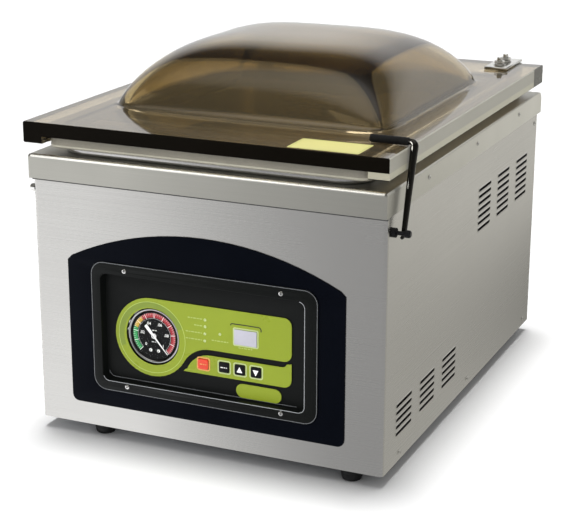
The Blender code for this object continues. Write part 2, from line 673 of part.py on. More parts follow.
def build_panel(machine):
    plate_back = CASE_FRONT - GAP
    decal = plate([arched_outline()], "XZ", plate_back - 0.8, plate_back)
    cut(decal, panel_opening(3.0, plate_back - 5, plate_back + 5))
    finish(decal, "panel_plate", "black_gloss", machine)

    wide, tall = BEZEL_HALF
    rim = plate([rounded_rectangle((PANEL_X - wide, PANEL_X + wide), (PANEL_Z - tall, PANEL_Z + tall), 14)],
                "XZ", BEZEL_FACE, BEZEL_FACE + 1.5)
    shell = 2.0
    body = plate([rounded_rectangle((RECESS_LEFT - shell, RECESS_RIGHT + shell),
                                    (RECESS_BOTTOM - shell, RECESS_TOP + shell), 8)],
                 "XZ", BEZEL_FACE + 0.5, RECESS_FLOOR + shell)
    join(rim, body)
    cut(rim, plate([rounded_rectangle((RECESS_LEFT, RECESS_RIGHT), (RECESS_BOTTOM, RECESS_TOP), 7)],
                   "XZ", BEZEL_FACE - 5, RECESS_FLOOR))
    cut(rim, cylinder((GAUGE_X, RECESS_FLOOR, GAUGE_Z), GAUGE_RADIUS + GAP, 20, "Y", 32))
    cut(rim, button_holes(RECESS_FLOOR - 5, RECESS_FLOOR + 10))
    for x in (PANEL_X - 84.5, PANEL_X + 84.5):
        for z in (PANEL_Z - 61, PANEL_Z + 61):
            cut(rim, cylinder((x, BEZEL_FACE, z), 1.6, 10, "Y", 10))
    finish(rim, "panel_bezel", "black_plastic", machine)

    back = RECESS_FLOOR - GAP
    panel = plate([green_panel_outline()], "XZ", OVERLAY_FACE, back)
    cut(panel, cylinder((GAUGE_X, RECESS_FLOOR, GAUGE_Z), GAUGE_RADIUS + GAP, 20, "Y", 32))
    finish(panel, "overlay_panel", "green_film", machine)
    strip = plate([green_strip_outline()], "XZ", OVERLAY_FACE, back)
    cut(strip, button_holes(OVERLAY_FACE - 5, back + 5))
    finish(strip, "overlay_strip", "green_film", machine)
    badge = plate([rounded_rectangle((30.7, 79.3), (66, 80.4), 7, 5)], "XZ", OVERLAY_FACE, back)
    finish(badge, "overlay_badge", "green_film", machine)
    window = box((29.4, 53.4), (OVERLAY_FACE - GAP - 0.7, OVERLAY_FACE - GAP), (120.9, 136.4))
    finish(window, "display_window", "display_lens", machine)

    for name, x in BUTTONS.items():
        slide = pivot(f"{name}_press", x, OVERLAY_FACE, BUTTON_Z, machine)
        wide, tall = BUTTON_HALF
        face = rounded_rectangle((x - wide, x + wide), (BUTTON_Z - tall, BUTTON_Z + tall), BUTTON_CORNER, 3)
        cap = plate([face], "XZ", OVERLAY_FACE - 1.4, RECESS_FLOOR + 2.5)
        finish(cap, name, "red_plastic" if name == "button_stop" else "black_plastic", slide)


def button_holes(low, high):
    wide, tall = (half + GAP for half in BUTTON_HALF)
    return plate([rounded_rectangle((x - wide, x + wide), (BUTTON_Z - tall, BUTTON_Z + tall), BUTTON_CORNER, 3)
                  for x in BUTTONS.values()], "XZ", low, high)


def build_gauge(machine):
    """Cup, dial, needle, lens and chrome ring; heights run forward from the recess floor."""
    middle = (GAUGE_X, RECESS_FLOOR, GAUGE_Z)
    rim = GAUGE_RADIUS
    cup = turned([(0, -8), (25, -8), (25, -3.8), (rim, -3.8), (rim, -26), (6, -26), (6, -34), (0, -34)],
                 middle, "-Y", 32)
    finish(cup, "gauge_case", "black_plastic", machine)
    dial = turned([(0, -6.7), (24.6, -6.7), (24.6, -7.7), (0, -7.7)], middle, "-Y", 32)
    finish(dial, "gauge_dial", "dial_black", machine)
    finish(turned(ring_profile(24.6, 29.4, -3.5, -0.8), middle, "-Y", 40), "gauge_ring", "chrome", machine)
    lens = turned([(0, -1.8), (24.3, -1.8), (24.3, -3.0), (0, -3.0)], middle, "-Y", 32)
    finish(lens, "gauge_lens", "clear_glass", machine)

    spin = pivot("needle_spin", GAUGE_X, RECESS_FLOOR, GAUGE_Z, machine)
    hand = [(-1.9, -13.0), (1.9, -13.0), (1.2, 0), (0.45, 21), (-0.45, 21), (-1.2, 0)]
    lean = math.radians(143)
    outline = [(GAUGE_X + across * math.cos(lean) + along * math.sin(lean),
                GAUGE_Z - across * math.sin(lean) + along * math.cos(lean)) for across, along in hand]
    needle = plate([outline], "XZ", RECESS_FLOOR + 4.4, RECESS_FLOOR + 5.0)
    join(needle, cylinder((GAUGE_X, RECESS_FLOOR + 4.9, GAUGE_Z), 2.6, 2.2, "Y", 16))
    finish(needle, "gauge_needle", "needle_white", spin)


# ---------------------------------------------------------------- inside the casing
def build_works(machine):
    floor = CASE_BOTTOM + SHEET + GAP
    pump = box((-150, -32), (-40, 110), (floor, 140), 6, 2)
    join(pump, cylinder((-90, 60, 142), 9, 20, "Z", 16))
    finish(pump, "vacuum_pump", "cast_housing", machine)
    motor = cylinder((40, 35, 88), 52, 140 - 2 * GAP, "X", 28)
    join(motor, box((-20, 100), (-5, 75), (floor, 60)), cylinder((112, 35, 88), 5, 10, "X", 14))
    finish(motor, "pump_motor", "motor_housing", machine)

    spin = pivot("fan_spin", 118, 35, 88, machine)
    fan = cylinder((123, 35, 88), 12, 10, "X", 16)
    for i in range(5):
        blade = box((-1, 1), (-7, 7), (8, 46))
        blade.rotation_euler = (math.radians(72 * i), 0, 0)
        blade.location = Vector((123, 35, 88)) * MM + Matrix.Rotation(
            math.radians(72 * i), 3, "X") @ Vector((0, 0, 27 * MM))
        join(fan, blade)
    finish(fan, "motor_fan", "black_plastic", spin)

    core = box((-165, -95), (-200, -135), (floor, 72))
    join(core, box((-152, -108), (-210, -125), (24, 62), 3, 1))
    finish(core, "transformer", "copper_winding", machine)

    behind = RECESS_FLOOR + 2.0 + GAP
    board = box((-20, 96), (behind + 8, behind + 9.6), (70, 168))
    for x in (-14, 90):
        for z in (76, 162):
            join(board, cylinder((x, behind + 4.2, z), 3, 8.4, "Y", 8))
    join(board, box((10, 40), (behind + 9, behind + 22), (110, 140)),
         box((55, 80), (behind + 9, behind + 18), (85, 105)))
    finish(board, "control_board", "board_green", machine)

    valve = box((20, 56), (214, 246.7), (110, 134), 1, 1)
    join(valve, cylinder((38, 230, 146), 12, 26, "Z", 20))
    finish(valve, "release_valve", "aluminium", machine)

    start = CHAMBER_REAR - GAP + 24 + GAP
    hose = tube([(PORT_X, start, PORT_Z), (PORT_X, start + 12, PORT_Z), (82, start + 20, 255),
                 (72, start + 24, 238), (50, start + 24, 215), (10, 208, 190), (-40, 180, 178),
                 (-75, 130, 176), (-88, 90, 174), (-90, 68, 170), (-90, 60, 163), (-90, 60, 152 + GAP)],
                [7] * 12, 2)
    finish(hose, "suction_hose", "black_rubber", machine)


def build_feet_and_rear(machine):
    for name, (x, y) in FEET.items():
        foot = turned([(0, 11.7), (11.5, 11.7), (9.5, 1), (8.7, 0), (0, 0)], (x, y, 0), "Z", 20)
        finish(foot, name, "black_rubber", machine)

    face = 247.0 + SHEET + GAP
    inlet = box((SOCKET_X - 17, SOCKET_X + 17), (face, face + 2.5), (SOCKET_Z - 13, SOCKET_Z + 13), 0.8, 1)
    join(inlet, box((SOCKET_X - 13.5, SOCKET_X + 13.5), (face - 18, face + 1),
                    (SOCKET_Z - 10, SOCKET_Z + 10)))
    cut(inlet, box((SOCKET_X - 12, SOCKET_X + 12), (face - 15, face + 5), (SOCKET_Z - 8.3, SOCKET_Z + 8.3)))
    finish(inlet, "power_inlet", "black_plastic", machine)

    bezel = box((SWITCH_X - 13, SWITCH_X + 13), (face, face + 1.8), (SOCKET_Z - 10, SOCKET_Z + 10), 0.6, 1)
    join(bezel, box((SWITCH_X - 10.5, SWITCH_X + 10.5), (face - 14, face + 1),
                    (SOCKET_Z - 7.5, SOCKET_Z + 7.5)))
    cut(bezel, box((SWITCH_X - 9, SWITCH_X + 9), (face - 12, face + 5), (SOCKET_Z - 6, SOCKET_Z + 6)))
    finish(bezel, "power_switch", "black_plastic", machine)
    tilt = pivot("rocker_tilt", SWITCH_X, face - 1, SOCKET_Z, machine)
    reach = 8.0
    outline = [(SWITCH_X - reach, face - 3.5), (SWITCH_X + reach, face - 3.5), (SWITCH_X + reach, face + 2.6),
               (SWITCH_X, face + 0.6), (SWITCH_X - reach, face - 0.2)]
    rocker = plate([outline], "XY", SOCKET_Z - 5.6, SOCKET_Z + 5.6)
    finish(rocker, "switch_rocker", "black_plastic", tilt)


# ---------------------------------------------------------------- assembly
def build_machine():
    machine = pivot("machine", 0, 0, 0)
    lid_axis = pivot("lid_axis", 0, HINGE_Y, HINGE_Z, machine)
    build_casing(machine)
    build_deck(machine)
    build_chamber(machine)
    build_seal_bar(machine)
    build_lid(lid_axis)
    build_hinges(machine, lid_axis)
    build_latch(machine, lid_axis)
    build_panel(machine)
    build_gauge(machine)
    build_works(machine)
    build_feet_and_rear(machine)
    right = CASE_HALF + GAP + 18.2
    left = -CASE_HALF - GAP - 7.5
    back = HINGE_Y + KNUCKLE_RADIUS
    machine.location = Vector((-(left + right) / 2, -(LID_FRONT + back) / 2, 0)) * MM


build_machine()
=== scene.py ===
"""Looks for the table-top chamber vacuum sealer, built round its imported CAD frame.

Lengths are millimetres in the machine's own axes (X right, Y back, Z up, feet on Z = 0);
at() turns them into metres in the row frame.
"""

import json
from math import copysign, cos, hypot, pi, radians, sin

import bmesh
import bpy
from mathutils import Matrix, Vector


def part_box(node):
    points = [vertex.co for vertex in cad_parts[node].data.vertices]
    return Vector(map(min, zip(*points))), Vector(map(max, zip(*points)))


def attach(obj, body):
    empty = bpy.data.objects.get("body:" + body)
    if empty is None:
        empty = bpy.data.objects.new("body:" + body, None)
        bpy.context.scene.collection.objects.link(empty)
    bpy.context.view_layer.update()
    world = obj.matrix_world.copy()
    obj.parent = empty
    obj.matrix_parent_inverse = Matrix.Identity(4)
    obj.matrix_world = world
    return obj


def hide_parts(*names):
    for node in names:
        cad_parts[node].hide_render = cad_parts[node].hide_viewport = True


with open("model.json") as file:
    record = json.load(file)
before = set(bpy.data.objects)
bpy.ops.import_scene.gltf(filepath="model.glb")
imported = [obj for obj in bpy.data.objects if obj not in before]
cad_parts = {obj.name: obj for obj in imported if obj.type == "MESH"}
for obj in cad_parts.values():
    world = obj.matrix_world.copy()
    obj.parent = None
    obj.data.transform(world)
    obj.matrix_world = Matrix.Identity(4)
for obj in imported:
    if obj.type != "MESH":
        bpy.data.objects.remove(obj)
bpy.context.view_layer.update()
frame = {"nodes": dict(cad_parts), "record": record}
NODES = frame["nodes"]

MM = 0.001
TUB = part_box("chamber_tub")
SHIFT = Vector(((TUB[0].x + TUB[1].x) / 2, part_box("lid")[0].y + 259.0 * MM, 0))


def at(x, y, z):
    return Vector((x * MM, y * MM, z * MM)) + SHIFT


def node_box(name):
    """A CAD node's corners in machine millimetres."""
    low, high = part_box(name)
    return (low - SHIFT) / MM, (high - SHIFT) / MM


def middle_of(name):
    low, high = node_box(name)
    return (low + high) / 2


def add_object(name, data):
    made = bpy.data.objects.new(name, data)
    bpy.context.scene.collection.objects.link(made)
    return made


def smooth(mesh, angle):
    mesh.shade_smooth()
    mesh.set_sharp_from_angle(angle=radians(angle))


def as_modified(obj):
    """A new mesh of an object as its modifiers leave it."""
    bpy.context.view_layer.update()
    return bpy.data.meshes.new_from_object(obj.evaluated_get(bpy.context.evaluated_depsgraph_get()))


# ---- camera
CAMERA_AT = (669.4, -1566.5, 660.6)
CAMERA_TURN, CAMERA_DIP, CAMERA_ROLL = (radians(a) for a in (23.993, 17.261, 0.099))


def make_camera():
    lens = bpy.data.cameras.new("camera")
    lens.lens, lens.sensor_width = 102.36, 36
    lens.clip_start, lens.clip_end = 0.05, 60
    camera = add_object("camera", lens)
    forward = Vector((-sin(CAMERA_TURN) * cos(CAMERA_DIP), cos(CAMERA_TURN) * cos(CAMERA_DIP), -sin(CAMERA_DIP)))
    turn = forward.to_track_quat("-Z", "Y") @ Matrix.Rotation(CAMERA_ROLL, 3, "Z").to_quaternion()
    camera.rotation_mode = "QUATERNION"
    camera.location, camera.rotation_quaternion = at(*CAMERA_AT), turn
    bpy.context.scene.camera = camera


# ---- materials
class Nodes:
    """A node tree, with short ways to add and join nodes; a value is a number, a colour or another's output."""

    def __init__(self, tree):
        self.tree = tree

    def put(self, socket, value):
        if isinstance(value, bpy.types.NodeSocket):
            self.tree.links.new(value, socket)
        else:
            socket.default_value = value

    def node(self, kind, **values):
        """Adds a node; a capitalised name is one of its inputs, any other is one of its settings."""
        made = self.tree.nodes.new("ShaderNode" + kind)
        for key, value in values.items():
            if key[0].isupper():
                self.put(made.inputs[key.replace("_", " ")], value)
            else:
                setattr(made, key, value)
        return made

    def math(self, operation, a, b=0.0):
        made = self.node("Math", operation=operation)
        for socket, value in zip(made.inputs, (a, b)):
            self.put(socket, value)
        return made.outputs[0]

    def clamp(self, value, low, high):
        return self.math("MINIMUM", self.math("MAXIMUM", value, low), high)

    def remap(self, value, low, high, start=0.3, end=0.7):
        made = self.node("MapRange", Value=value, From_Min=start, From_Max=end, To_Min=low, To_Max=high)
        return made.outputs["Result"]

    def mix(self, factor, a, b, kind="RGBA"):
        made = self.node("Mix", data_type=kind)
        first = {"FLOAT": 2, "RGBA": 6}[kind]
        for index, value in ((0, factor), (first, a), (first + 1, b)):
            self.put(made.inputs[index], value)
        return made.outputs[{"FLOAT": 0, "RGBA": 2}[kind]]

    def axes(self, vector):
        return self.node("SeparateXYZ", Vector=vector).outputs

    def ramp(self, value, stops, tint=(1, 1, 1)):
        """A colour ramp from (position, value) pairs."""
        made = self.node("ValToRGB", Fac=value)
        elements = made.color_ramp.elements
        for place, level in stops[1:-1]:
            elements.new(place).color = (*(level * t for t in tint), 1)
        for end, (place, level) in ((elements[0], stops[0]), (elements[-1], stops[-1])):
            end.position, end.color = place, (*(level * t for t in tint), 1)
        return made.outputs["Color"]


class Surface(Nodes):
    """A Principled material with small helpers for its procedural detail."""

    def __init__(self, name, colour, roughness, metallic=0.0, **constants):
        self.material = bpy.data.materials.new(name)
        self.material.use_nodes = True
        super().__init__(self.material.node_tree)
        self.shader = self.tree.nodes["Principled BSDF"]
        self.colour = (*colour, 1)
        self.roughness = roughness
        self.set("Base Color", self.colour)
        self.set("Roughness", roughness)
        self.set("Metallic", metallic)
        for key, value in constants.items():
            self.set(key, value)
        self.coordinates = None

    def set(self, socket, value):
        self.put(self.shader.inputs[socket], value)

    def noise(self, scale, stretch=(1, 1, 1), detail=3.0, rough=0.5):
        """Noise over the object's own metres, as a value about 0.5."""
        if not self.coordinates:
            self.coordinates = self.node("TexCoord").outputs["Object"]
        spread = self.node("Mapping", Vector=self.coordinates, Scale=stretch).outputs["Vector"]
        return self.node("TexNoise", Vector=spread, Scale=scale, Detail=detail, Roughness=rough).outputs["Fac"]

    def vary_roughness(self, value, spread):
        self.set("Roughness", self.remap(value, self.roughness - spread, self.roughness + spread))

    def vary_colour(self, value, other):
        self.set("Base Color", self.mix(self.remap(value, 0, 1), self.colour, (*other, 1)))

    def add(self, a, b, share=0.5):
        return self.mix(share, a, b, "FLOAT")

    def bump(self, value, height, strength):
        made = self.node("Bump", Height=value, Strength=strength, Distance=height * MM)
        self.set("Normal", made.outputs["Normal"])


def brushed(name, colour, roughness, stretch, spread=0.07, darker=0.9, height=0.02):
    """Steel with fine straight grain across the fast axes of stretch, and faint handling marks."""
    made = Surface(name, colour, roughness, 1.0)
    grain = made.noise(1.0, stretch, 4.0, 0.65)
    marks = made.noise(7.0, (1, 1, 1), 3.0)
    made.vary_colour(made.add(grain, marks, 0.35), [c * darker for c in colour])
    made.vary_roughness(made.add(grain, marks, 0.5), spread)
    made.bump(grain, height, 0.35)
    return made.material


def moulded(name, colour, roughness, grit=1400, height=0.03, gloss=0.5, lighter=1.35, marks=0.07):
    """Moulded plastic or rubber: a fine even texture, and slow changes of gloss from handling."""
    made = Surface(name, colour, roughness)
    fine = made.noise(grit, (1, 1, 1), 2.0)
    slow = made.noise(22, (1, 1, 1), 4.0)
    made.vary_colour(made.add(fine, slow, 0.6), [min(1, c * lighter) for c in colour])
    made.vary_roughness(slow, marks)
    made.bump(fine, height, 0.5)
    made.set("Specular IOR Level", gloss)
    return made.material


def polished(name, colour, roughness):
    made = Surface(name, colour, roughness, 1.0)
    slow = made.noise(60, (1, 1, 1), 3.0)
    fine = made.noise(900, (1, 6, 1), 2.0)
    made.vary_colour(slow, [c * 0.9 for c in colour])
    made.vary_roughness(made.add(slow, fine), 0.035)
    made.bump(fine, 0.004, 0.4)
    return made.material


def smoked(name, colour, clear, shoulder=None):
    """Smoked acrylic; what isn't clear is the fine haze of dust and wiping marks on it.

    Shade is painted into its colour where the sheet turns over, at its shoulder and down its four corners in
    narrowing wedges, picked by which way the surface faces: shoulder is that painted shade colour.
    """
    made = Surface(name, colour, 0.035, 0.0, IOR=1.49)
    made.set("Transmission Weight", clear)
    # painted shade: darker at the dome's shoulder and in wedges down its corners, by the surface's facing
    if shoulder:
        facing = made.axes(made.node("TexCoord").outputs["Normal"])
        x, y, up = (made.math("ABSOLUTE", facing[axis]) for axis in "XYZ")
        square = made.math("MULTIPLY", up, up)
        turn = made.math("DIVIDE", made.math("MULTIPLY", x, y), made.math("SUBTRACT", 1.0, square))
        width = made.math("MULTIPLY", square, CORNER_SHADE_WIDTH)
        wedge = made.math("DIVIDE", made.math("SUBTRACT", turn, made.math("SUBTRACT", 0.5, width)), width)
        tone = made.mix(made.clamp(wedge, 0.0, 1.0), up, made.math("MAXIMUM", up, CORNER_SHADE_TONE), "FLOAT")
        made.set("Base Color", made.mix(made.ramp(tone, SHOULDER_SHADE_STOPS), made.colour, (*shoulder, 1)))
    wiped = made.noise(5.0, (1, 3, 1), 5.0)
    made.vary_roughness(wiped, 0.02)
    return made.material


STEEL = (0.50, 0.49, 0.46)
# ramp of the dome's painted shoulder shade, by how upright the surface faces
SHOULDER_SHADE_STOPS = [(0.0, 0.0), (0.893, 0.0), (0.903, 1.0), (0.955, 0.9), (0.985, 0.42), (1.0, 0.2)]
CORNER_SHADE_WIDTH, CORNER_SHADE_TONE = 0.14, 0.93
ALONG, FAST = 3.0, 1700.0  # noise scales along the grain and across it
LOOKS = {}
BRUSHED = {  # colour, roughness, stretch, then brushed()'s own where they differ
    "steel_sides": (STEEL, 0.26, (ALONG, ALONG, FAST), 0.05, 0.93),
    "steel_deck": ((0.455, 0.445, 0.395), 0.39, (ALONG, FAST, FAST)),
    "steel_tub": ((0.5, 0.49, 0.47), 0.24, (ALONG, ALONG, FAST)),
    "zinc_sheet": ((0.4, 0.41, 0.42), 0.42, (60, 60, 60), 0.1, 0.8, 0.01),
    "aluminium": ((0.62, 0.62, 0.61), 0.34, (ALONG, 900, 900)),
}
POLISHED = {  # colour, roughness
    # far brighter than the deck steel: the painted highlight on the deck's front roll
    "steel_edge": ((0.86, 0.84, 0.77), 0.24),
    "steel_polished": ((0.66, 0.65, 0.62), 0.16),
    "chrome_bright": ((0.78, 0.78, 0.77), 0.07),
    "chrome_rod": ((0.04, 0.039, 0.035), 0.12),
    "port_steel": ((0.14, 0.135, 0.12), 0.35),
    "gauge_steel": ((0.46, 0.46, 0.45), 0.14),
    "copper": ((0.7, 0.32, 0.14), 0.3),
}
MOULDED = {  # colour, roughness, then moulded()'s own where they differ
    "edge_black": ((0.0030, 0.0024, 0.0016), 0.12, 300, 0.003, 0.02),
    "edge_grey": ((0.23, 0.222, 0.185), 0.34, 900, 0.0005, 0.4, 1.03, 0.015),
    # a lighter copy of the grey edge, painted on as a highlight on the lid's lower side band
    "edge_light": ((0.30, 0.285, 0.215), 0.34, 900, 0.0005, 0.4, 1.03, 0.015),
    "edge_olive": ((0.036, 0.035, 0.027), 0.3, 900, 0.001, 0.2, 1.1),
    "silicone_beige": ((0.15, 0.14, 0.11), 0.5, 800, 0.02),
    # the gasket's lip: a paler copy of the silicone, painted highlight
    "silicone_lip": ((0.27, 0.255, 0.205), 0.4, 800, 0.01),
    # a much paler silicone on the gasket's right side: painted light
    "silicone_pale": ((0.62, 0.59, 0.48), 0.4, 800, 0.01, 0.5, 1.05),
    # the dark strip under the deck's lip: painted shadow
    "seam_grey": ((0.05, 0.05, 0.048), 0.5, 900, 0.01, 0.3),
    "rubber_black": ((0.005, 0.005, 0.005), 0.45, 1500, 0.05, 0.14),
    "plastic_panel": ((0.0032, 0.0037, 0.0034), 0.36, 1800, 0.03, 0.11),
    "plastic_black": ((0.004, 0.004, 0.0045), 0.32, 1500, 0.03, 0.15),
    "film_black": ((0.0014, 0.0019, 0.0036), 0.2, 900, 0.003, 0.03),
    "film_green": ((0.225, 0.285, 0.017), 0.34, 1200, 0.006, 0.3, 1.08),
    "film_olive": ((0.17, 0.23, 0.03), 0.34, 1200, 0.006, 0.3, 1.1),
    "film_yellow": ((0.455, 0.43, 0.165), 0.42, 900, 0.01, 0.5, 1.08),
    "film_halo": ((0.38, 0.45, 0.20), 0.4, 900, 0.005),
    "film_line": ((0.33, 0.42, 0.10), 0.4, 900, 0.005),
    "film_print": ((0.31, 0.38, 0.11), 0.4, 900, 0.005),
    "film_orange": ((0.58, 0.27, 0.07), 0.4, 900, 0.005),
    # light strokes painted on as highlights of the bezel's and the recess's edges
    "line_light": ((0.24, 0.25, 0.26), 0.3, 900, 0.003),
    "line_dim": ((0.10, 0.105, 0.11), 0.3, 900, 0.003),
    "ink_white": ((0.86, 0.86, 0.84), 0.45, 900, 0.005, 0.5, 1.1),
    "ink_black": ((0.008, 0.008, 0.008), 0.45, 900, 0.005),
    "ink_red": ((0.30, 0.012, 0.02), 0.42, 900, 0.005),
    "ink_gold": ((0.44, 0.28, 0.025), 0.42, 900, 0.005),
    "ink_green": ((0.008, 0.24, 0.055), 0.42, 900, 0.005),
    "button_red": ((0.62, 0.05, 0.02), 0.33, 1200, 0.01, 0.5, 1.1),
    "display": ((0.425, 0.42, 0.48), 0.2, 400, 0.002, 0.5, 1.08),
    "dial_black": ((0.004, 0.004, 0.004), 0.5, 1200, 0.003, 0.1),
    "needle_white": ((0.85, 0.85, 0.83), 0.4, 900, 0.005),
    "nylon_white": ((0.50, 0.49, 0.46), 0.45, 700, 0.05, 0.5, 1.1),
    "tape_brown": ((0.34, 0.22, 0.11), 0.45, 2600, 0.06),
    "cast_grey": ((0.13, 0.14, 0.16), 0.45, 500, 0.15),
    "cast_dark": ((0.05, 0.06, 0.07), 0.45, 500, 0.15),
    "board": ((0.015, 0.14, 0.05), 0.35, 900, 0.01),
}


def make_looks():
    for make, table in ((brushed, BRUSHED), (polished, POLISHED), (moulded, MOULDED)):
        LOOKS.update({name: make(name, *values) for name, values in table.items()})
    LOOKS["acrylic"] = smoked("smoked_acrylic_plate", (0.42, 0.34, 0.21), 0.94)
    # the dome's last colour is the painted shade at its shoulder and corners
    LOOKS["acrylic_dome"] = smoked("smoked_acrylic_dome", (0.425, 0.325, 0.16), 0.95, (0.05, 0.035, 0.02))
    glass = Surface("gauge_glass", (0.10, 0.11, 0.11), 0.03, IOR=1.5)
    glass.set("Alpha", 0.012)
    glass.vary_roughness(glass.noise(30), 0.02)
    LOOKS["glass"] = glass.material


SLOT_LOOK = {
    "stainless": "steel_sides", "polished_steel": "steel_polished", "galvanised": "zinc_sheet",
    "smoked_acrylic": "acrylic", "gasket_silicone": "silicone_beige", "black_rubber": "rubber_black",
    "black_plastic": "plastic_black", "black_gloss": "film_black", "green_film": "film_green",
    "red_plastic": "button_red", "display_lens": "display", "chrome": "chrome_bright",
    "dial_black": "dial_black", "needle_white": "needle_white", "clear_glass": "glass",
    "white_polyethylene": "nylon_white", "aluminium": "aluminium", "ptfe_tape": "tape_brown",
    "cast_housing": "cast_grey", "motor_housing": "cast_dark", "copper_winding": "copper",
    "board_green": "board",
}
NODE_LOOK = {"deck": "steel_deck", "chamber_tub": "steel_tub", "panel_bezel": "plastic_panel",
             "gauge_ring": "gauge_steel", "vacuum_port": "port_steel"}
SAME_PLACE = 0.00001  # metres between corners that are one
NODE_BEVEL = {name: width for width, names in {
    0.15: "panel_plate", 0.2: "display_window seal_heat_strip", 0.35: "button_stop button_set button_up button_down",
    0.4: "power_switch switch_rocker backing_bar", 0.7: "panel_bezel", 0.8: "seal_bar", 1.0: "transformer",
    0.5: "chamber_tub hinge_bracket_left hinge_bracket_right power_inlet", 0.6: "hinge_leaf_left hinge_leaf_right",
    1.2: "filler_plate"}.items() for name in names.split()}


def dress_cad_nodes():
    """Gives every CAD node its procedural material, and rounds the edges that catch the light."""
    slot_of = {part["node"]: part["material_slot"] for part in frame["record"]["subparts"]}
    for name, obj in NODES.items():
        look = NODE_LOOK.get(name) or SLOT_LOOK[slot_of[name]]
        obj.data.materials.clear()
        obj.data.materials.append(LOOKS[look])
        smooth(obj.data, 32)
        if name in NODE_BEVEL:
            weld = obj.modifiers.new("weld", "WELD")
            weld.merge_threshold = SAME_PLACE
            rounding = obj.modifiers.new("rounding", "BEVEL")
            rounding.width = NODE_BEVEL[name] * MM
            rounding.segments = 3
            rounding.limit_method = "ANGLE"
            rounding.angle_limit = radians(40)
            rounding.harden_normals = False


# ---- building pieces
def to_mesh(name, shape, place=Matrix.Translation(SHIFT)):
    """Turns a bmesh in machine millimetres into a mesh in the row frame."""
    bmesh.ops.recalc_face_normals(shape, faces=shape.faces[:])
    mesh = bpy.data.meshes.new(name)
    shape.transform(place @ Matrix.Diagonal((MM, MM, MM, 1)))
    shape.to_mesh(mesh)
    shape.free()
    return mesh


def piece(name, shape, look, angle=35, replaces=(), body="cabinet"):
    """Turns a bmesh in machine millimetres into a piece that rides on a body."""
    mesh = to_mesh(name, shape)
    for part in [look] if isinstance(look, str) else look:
        mesh.materials.append(LOOKS[part])
    smooth(mesh, angle)
    obj = add_object(name, mesh)
    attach(obj, body)
    if replaces:
        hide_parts(*replaces)
    return obj


AXES = {"X": (Vector((0, 1, 0)), Vector((0, 0, 1)), Vector((1, 0, 0))),
        "Y": (Vector((0, 0, 1)), Vector((1, 0, 0)), Vector((0, 1, 0))),
        "Z": (Vector((1, 0, 0)), Vector((0, 1, 0)), Vector((0, 0, 1)))}


def circle(shape, middle, side, up, radius, segments):
    return [shape.verts.new(middle + (side * cos(a) + up * sin(a)) * radius)
            for a in (2 * pi * i / segments for i in range(segments))]


def turned(shape, profile, centre, axis, segments=48, sign=1):
    """Adds a body of revolution; profile is (radius, height) along the axis."""
    side, up, out = AXES[axis]
    centre = Vector(centre)
    rows = []
    for radius, height in profile:
        middle = centre + out * height * sign
        if radius < 1e-6:
            rows.append([shape.verts.new(middle)])
            continue
        rows.append(circle(shape, middle, side, up, radius, segments))
    for low, high in zip(rows, rows[1:]):
        for i in range(segments):
            j = (i + 1) % segments
            ring = [low[i % len(low)], low[j % len(low)], high[j % len(high)], high[i % len(high)]]
            ring = list(dict.fromkeys(ring))
            if len(ring) > 2:
                shape.faces.new(ring)
    return shape


def tube(shape, points, radii, segments=28):
    """Adds a round bar along points, with closed ends."""
    points = [Vector(p) for p in points]
    side = None
    rows = []
    for i, point in enumerate(points):
        ahead = (points[min(i + 1, len(points) - 1)] - points[max(i - 1, 0)]).normalized()
        if side is None:
            side = ahead.orthogonal().normalized()
        side = (side - ahead * side.dot(ahead)).normalized()
        up = ahead.cross(side)
        rows.append(circle(shape, point, side, up, radii[i], segments))
    for low, high in zip(rows, rows[1:]):
        loop_faces(shape, low, high)
    shape.faces.new(rows[0])
    shape.faces.new(rows[-1])
    return shape


PLANES = {"XZ": lambda a, b, h: (a, h, b), "XY": lambda a, b, h: (a, b, h)}


def loop_faces(shape, a, b):
    """Joins two closed rows of corners by a ring of faces."""
    count = len(a)
    return [shape.faces.new((a[i], a[(i + 1) % count], b[(i + 1) % count], b[i])) for i in range(count)]


def prism(shape, outline, low, high, plane="XZ", bevel=0.0):
    """Adds an outline drawn in a plane, standing from low to high along the plane's normal."""
    rows = [[shape.verts.new(PLANES[plane](a, b, h)) for a, b in outline] for h in (low, high)]
    faces = [shape.faces.new(rows[0][::-1]), shape.faces.new(rows[1])]
    loop_faces(shape, *rows)
    if bevel:
        edges = {e for face in faces for e in face.edges}
        bmesh.ops.bevel(shape, geom=list(edges), offset=bevel, segments=2, profile=0.5, affect="EDGES")
    return shape


def rectangle(x0, x1, y0, y1):
    return [(x0, y0), (x1, y0), (x1, y1), (x0, y1)]


def arc(centre, radius, start, end, steps):
    return [(centre[0] + radius * cos(radians(a)), centre[1] + radius * sin(radians(a)))
            for a in (start + (end - start) * i / steps for i in range(steps + 1))]


def rounded(x0, x1, y0, y1, radius, steps=6):
    return (arc((x1 - radius, y1 - radius), radius, 0, 90, steps)
            + arc((x0 + radius, y1 - radius), radius, 90, 180, steps)
            + arc((x0 + radius, y0 + radius), radius, 180, 270, steps)
            + arc((x1 - radius, y0 + radius), radius, 270, 360, steps))


def band(shape, outer, inner, low, high, plane="XZ"):
    """Adds a flat band between two outlines with the same number of points."""
    rows = [[shape.verts.new(PLANES[plane](a, b, h)) for a, b in line]
            for line, h in ((outer, low), (inner, low), (inner, high), (outer, high))]
    for k in range(4):
        loop_faces(shape, rows[k], rows[(k + 1) % 4])
    return shape


def swept_ring(shape, path, section, looks):
    """Sweeps a section of (outward, height) points round a closed outline in XY; looks is one for each side."""
    count = len(path)
    rows = []
    for i, (x, y) in enumerate(path):
        ahead = Vector(path[(i + 1) % count]) - Vector(path[i - 1])
        out = Vector((ahead.y, -ahead.x)).normalized()
        rows.append([shape.verts.new((x + out.x * a, y + out.y * a, z)) for a, z in section])
    for i in range(count):
        here, after = rows[i], rows[(i + 1) % count]
        for k in range(len(section)):
            n = (k + 1) % len(section)
            shape.faces.new((here[k], after[k], after[n], here[n])).material_index = looks[k]
    return shape


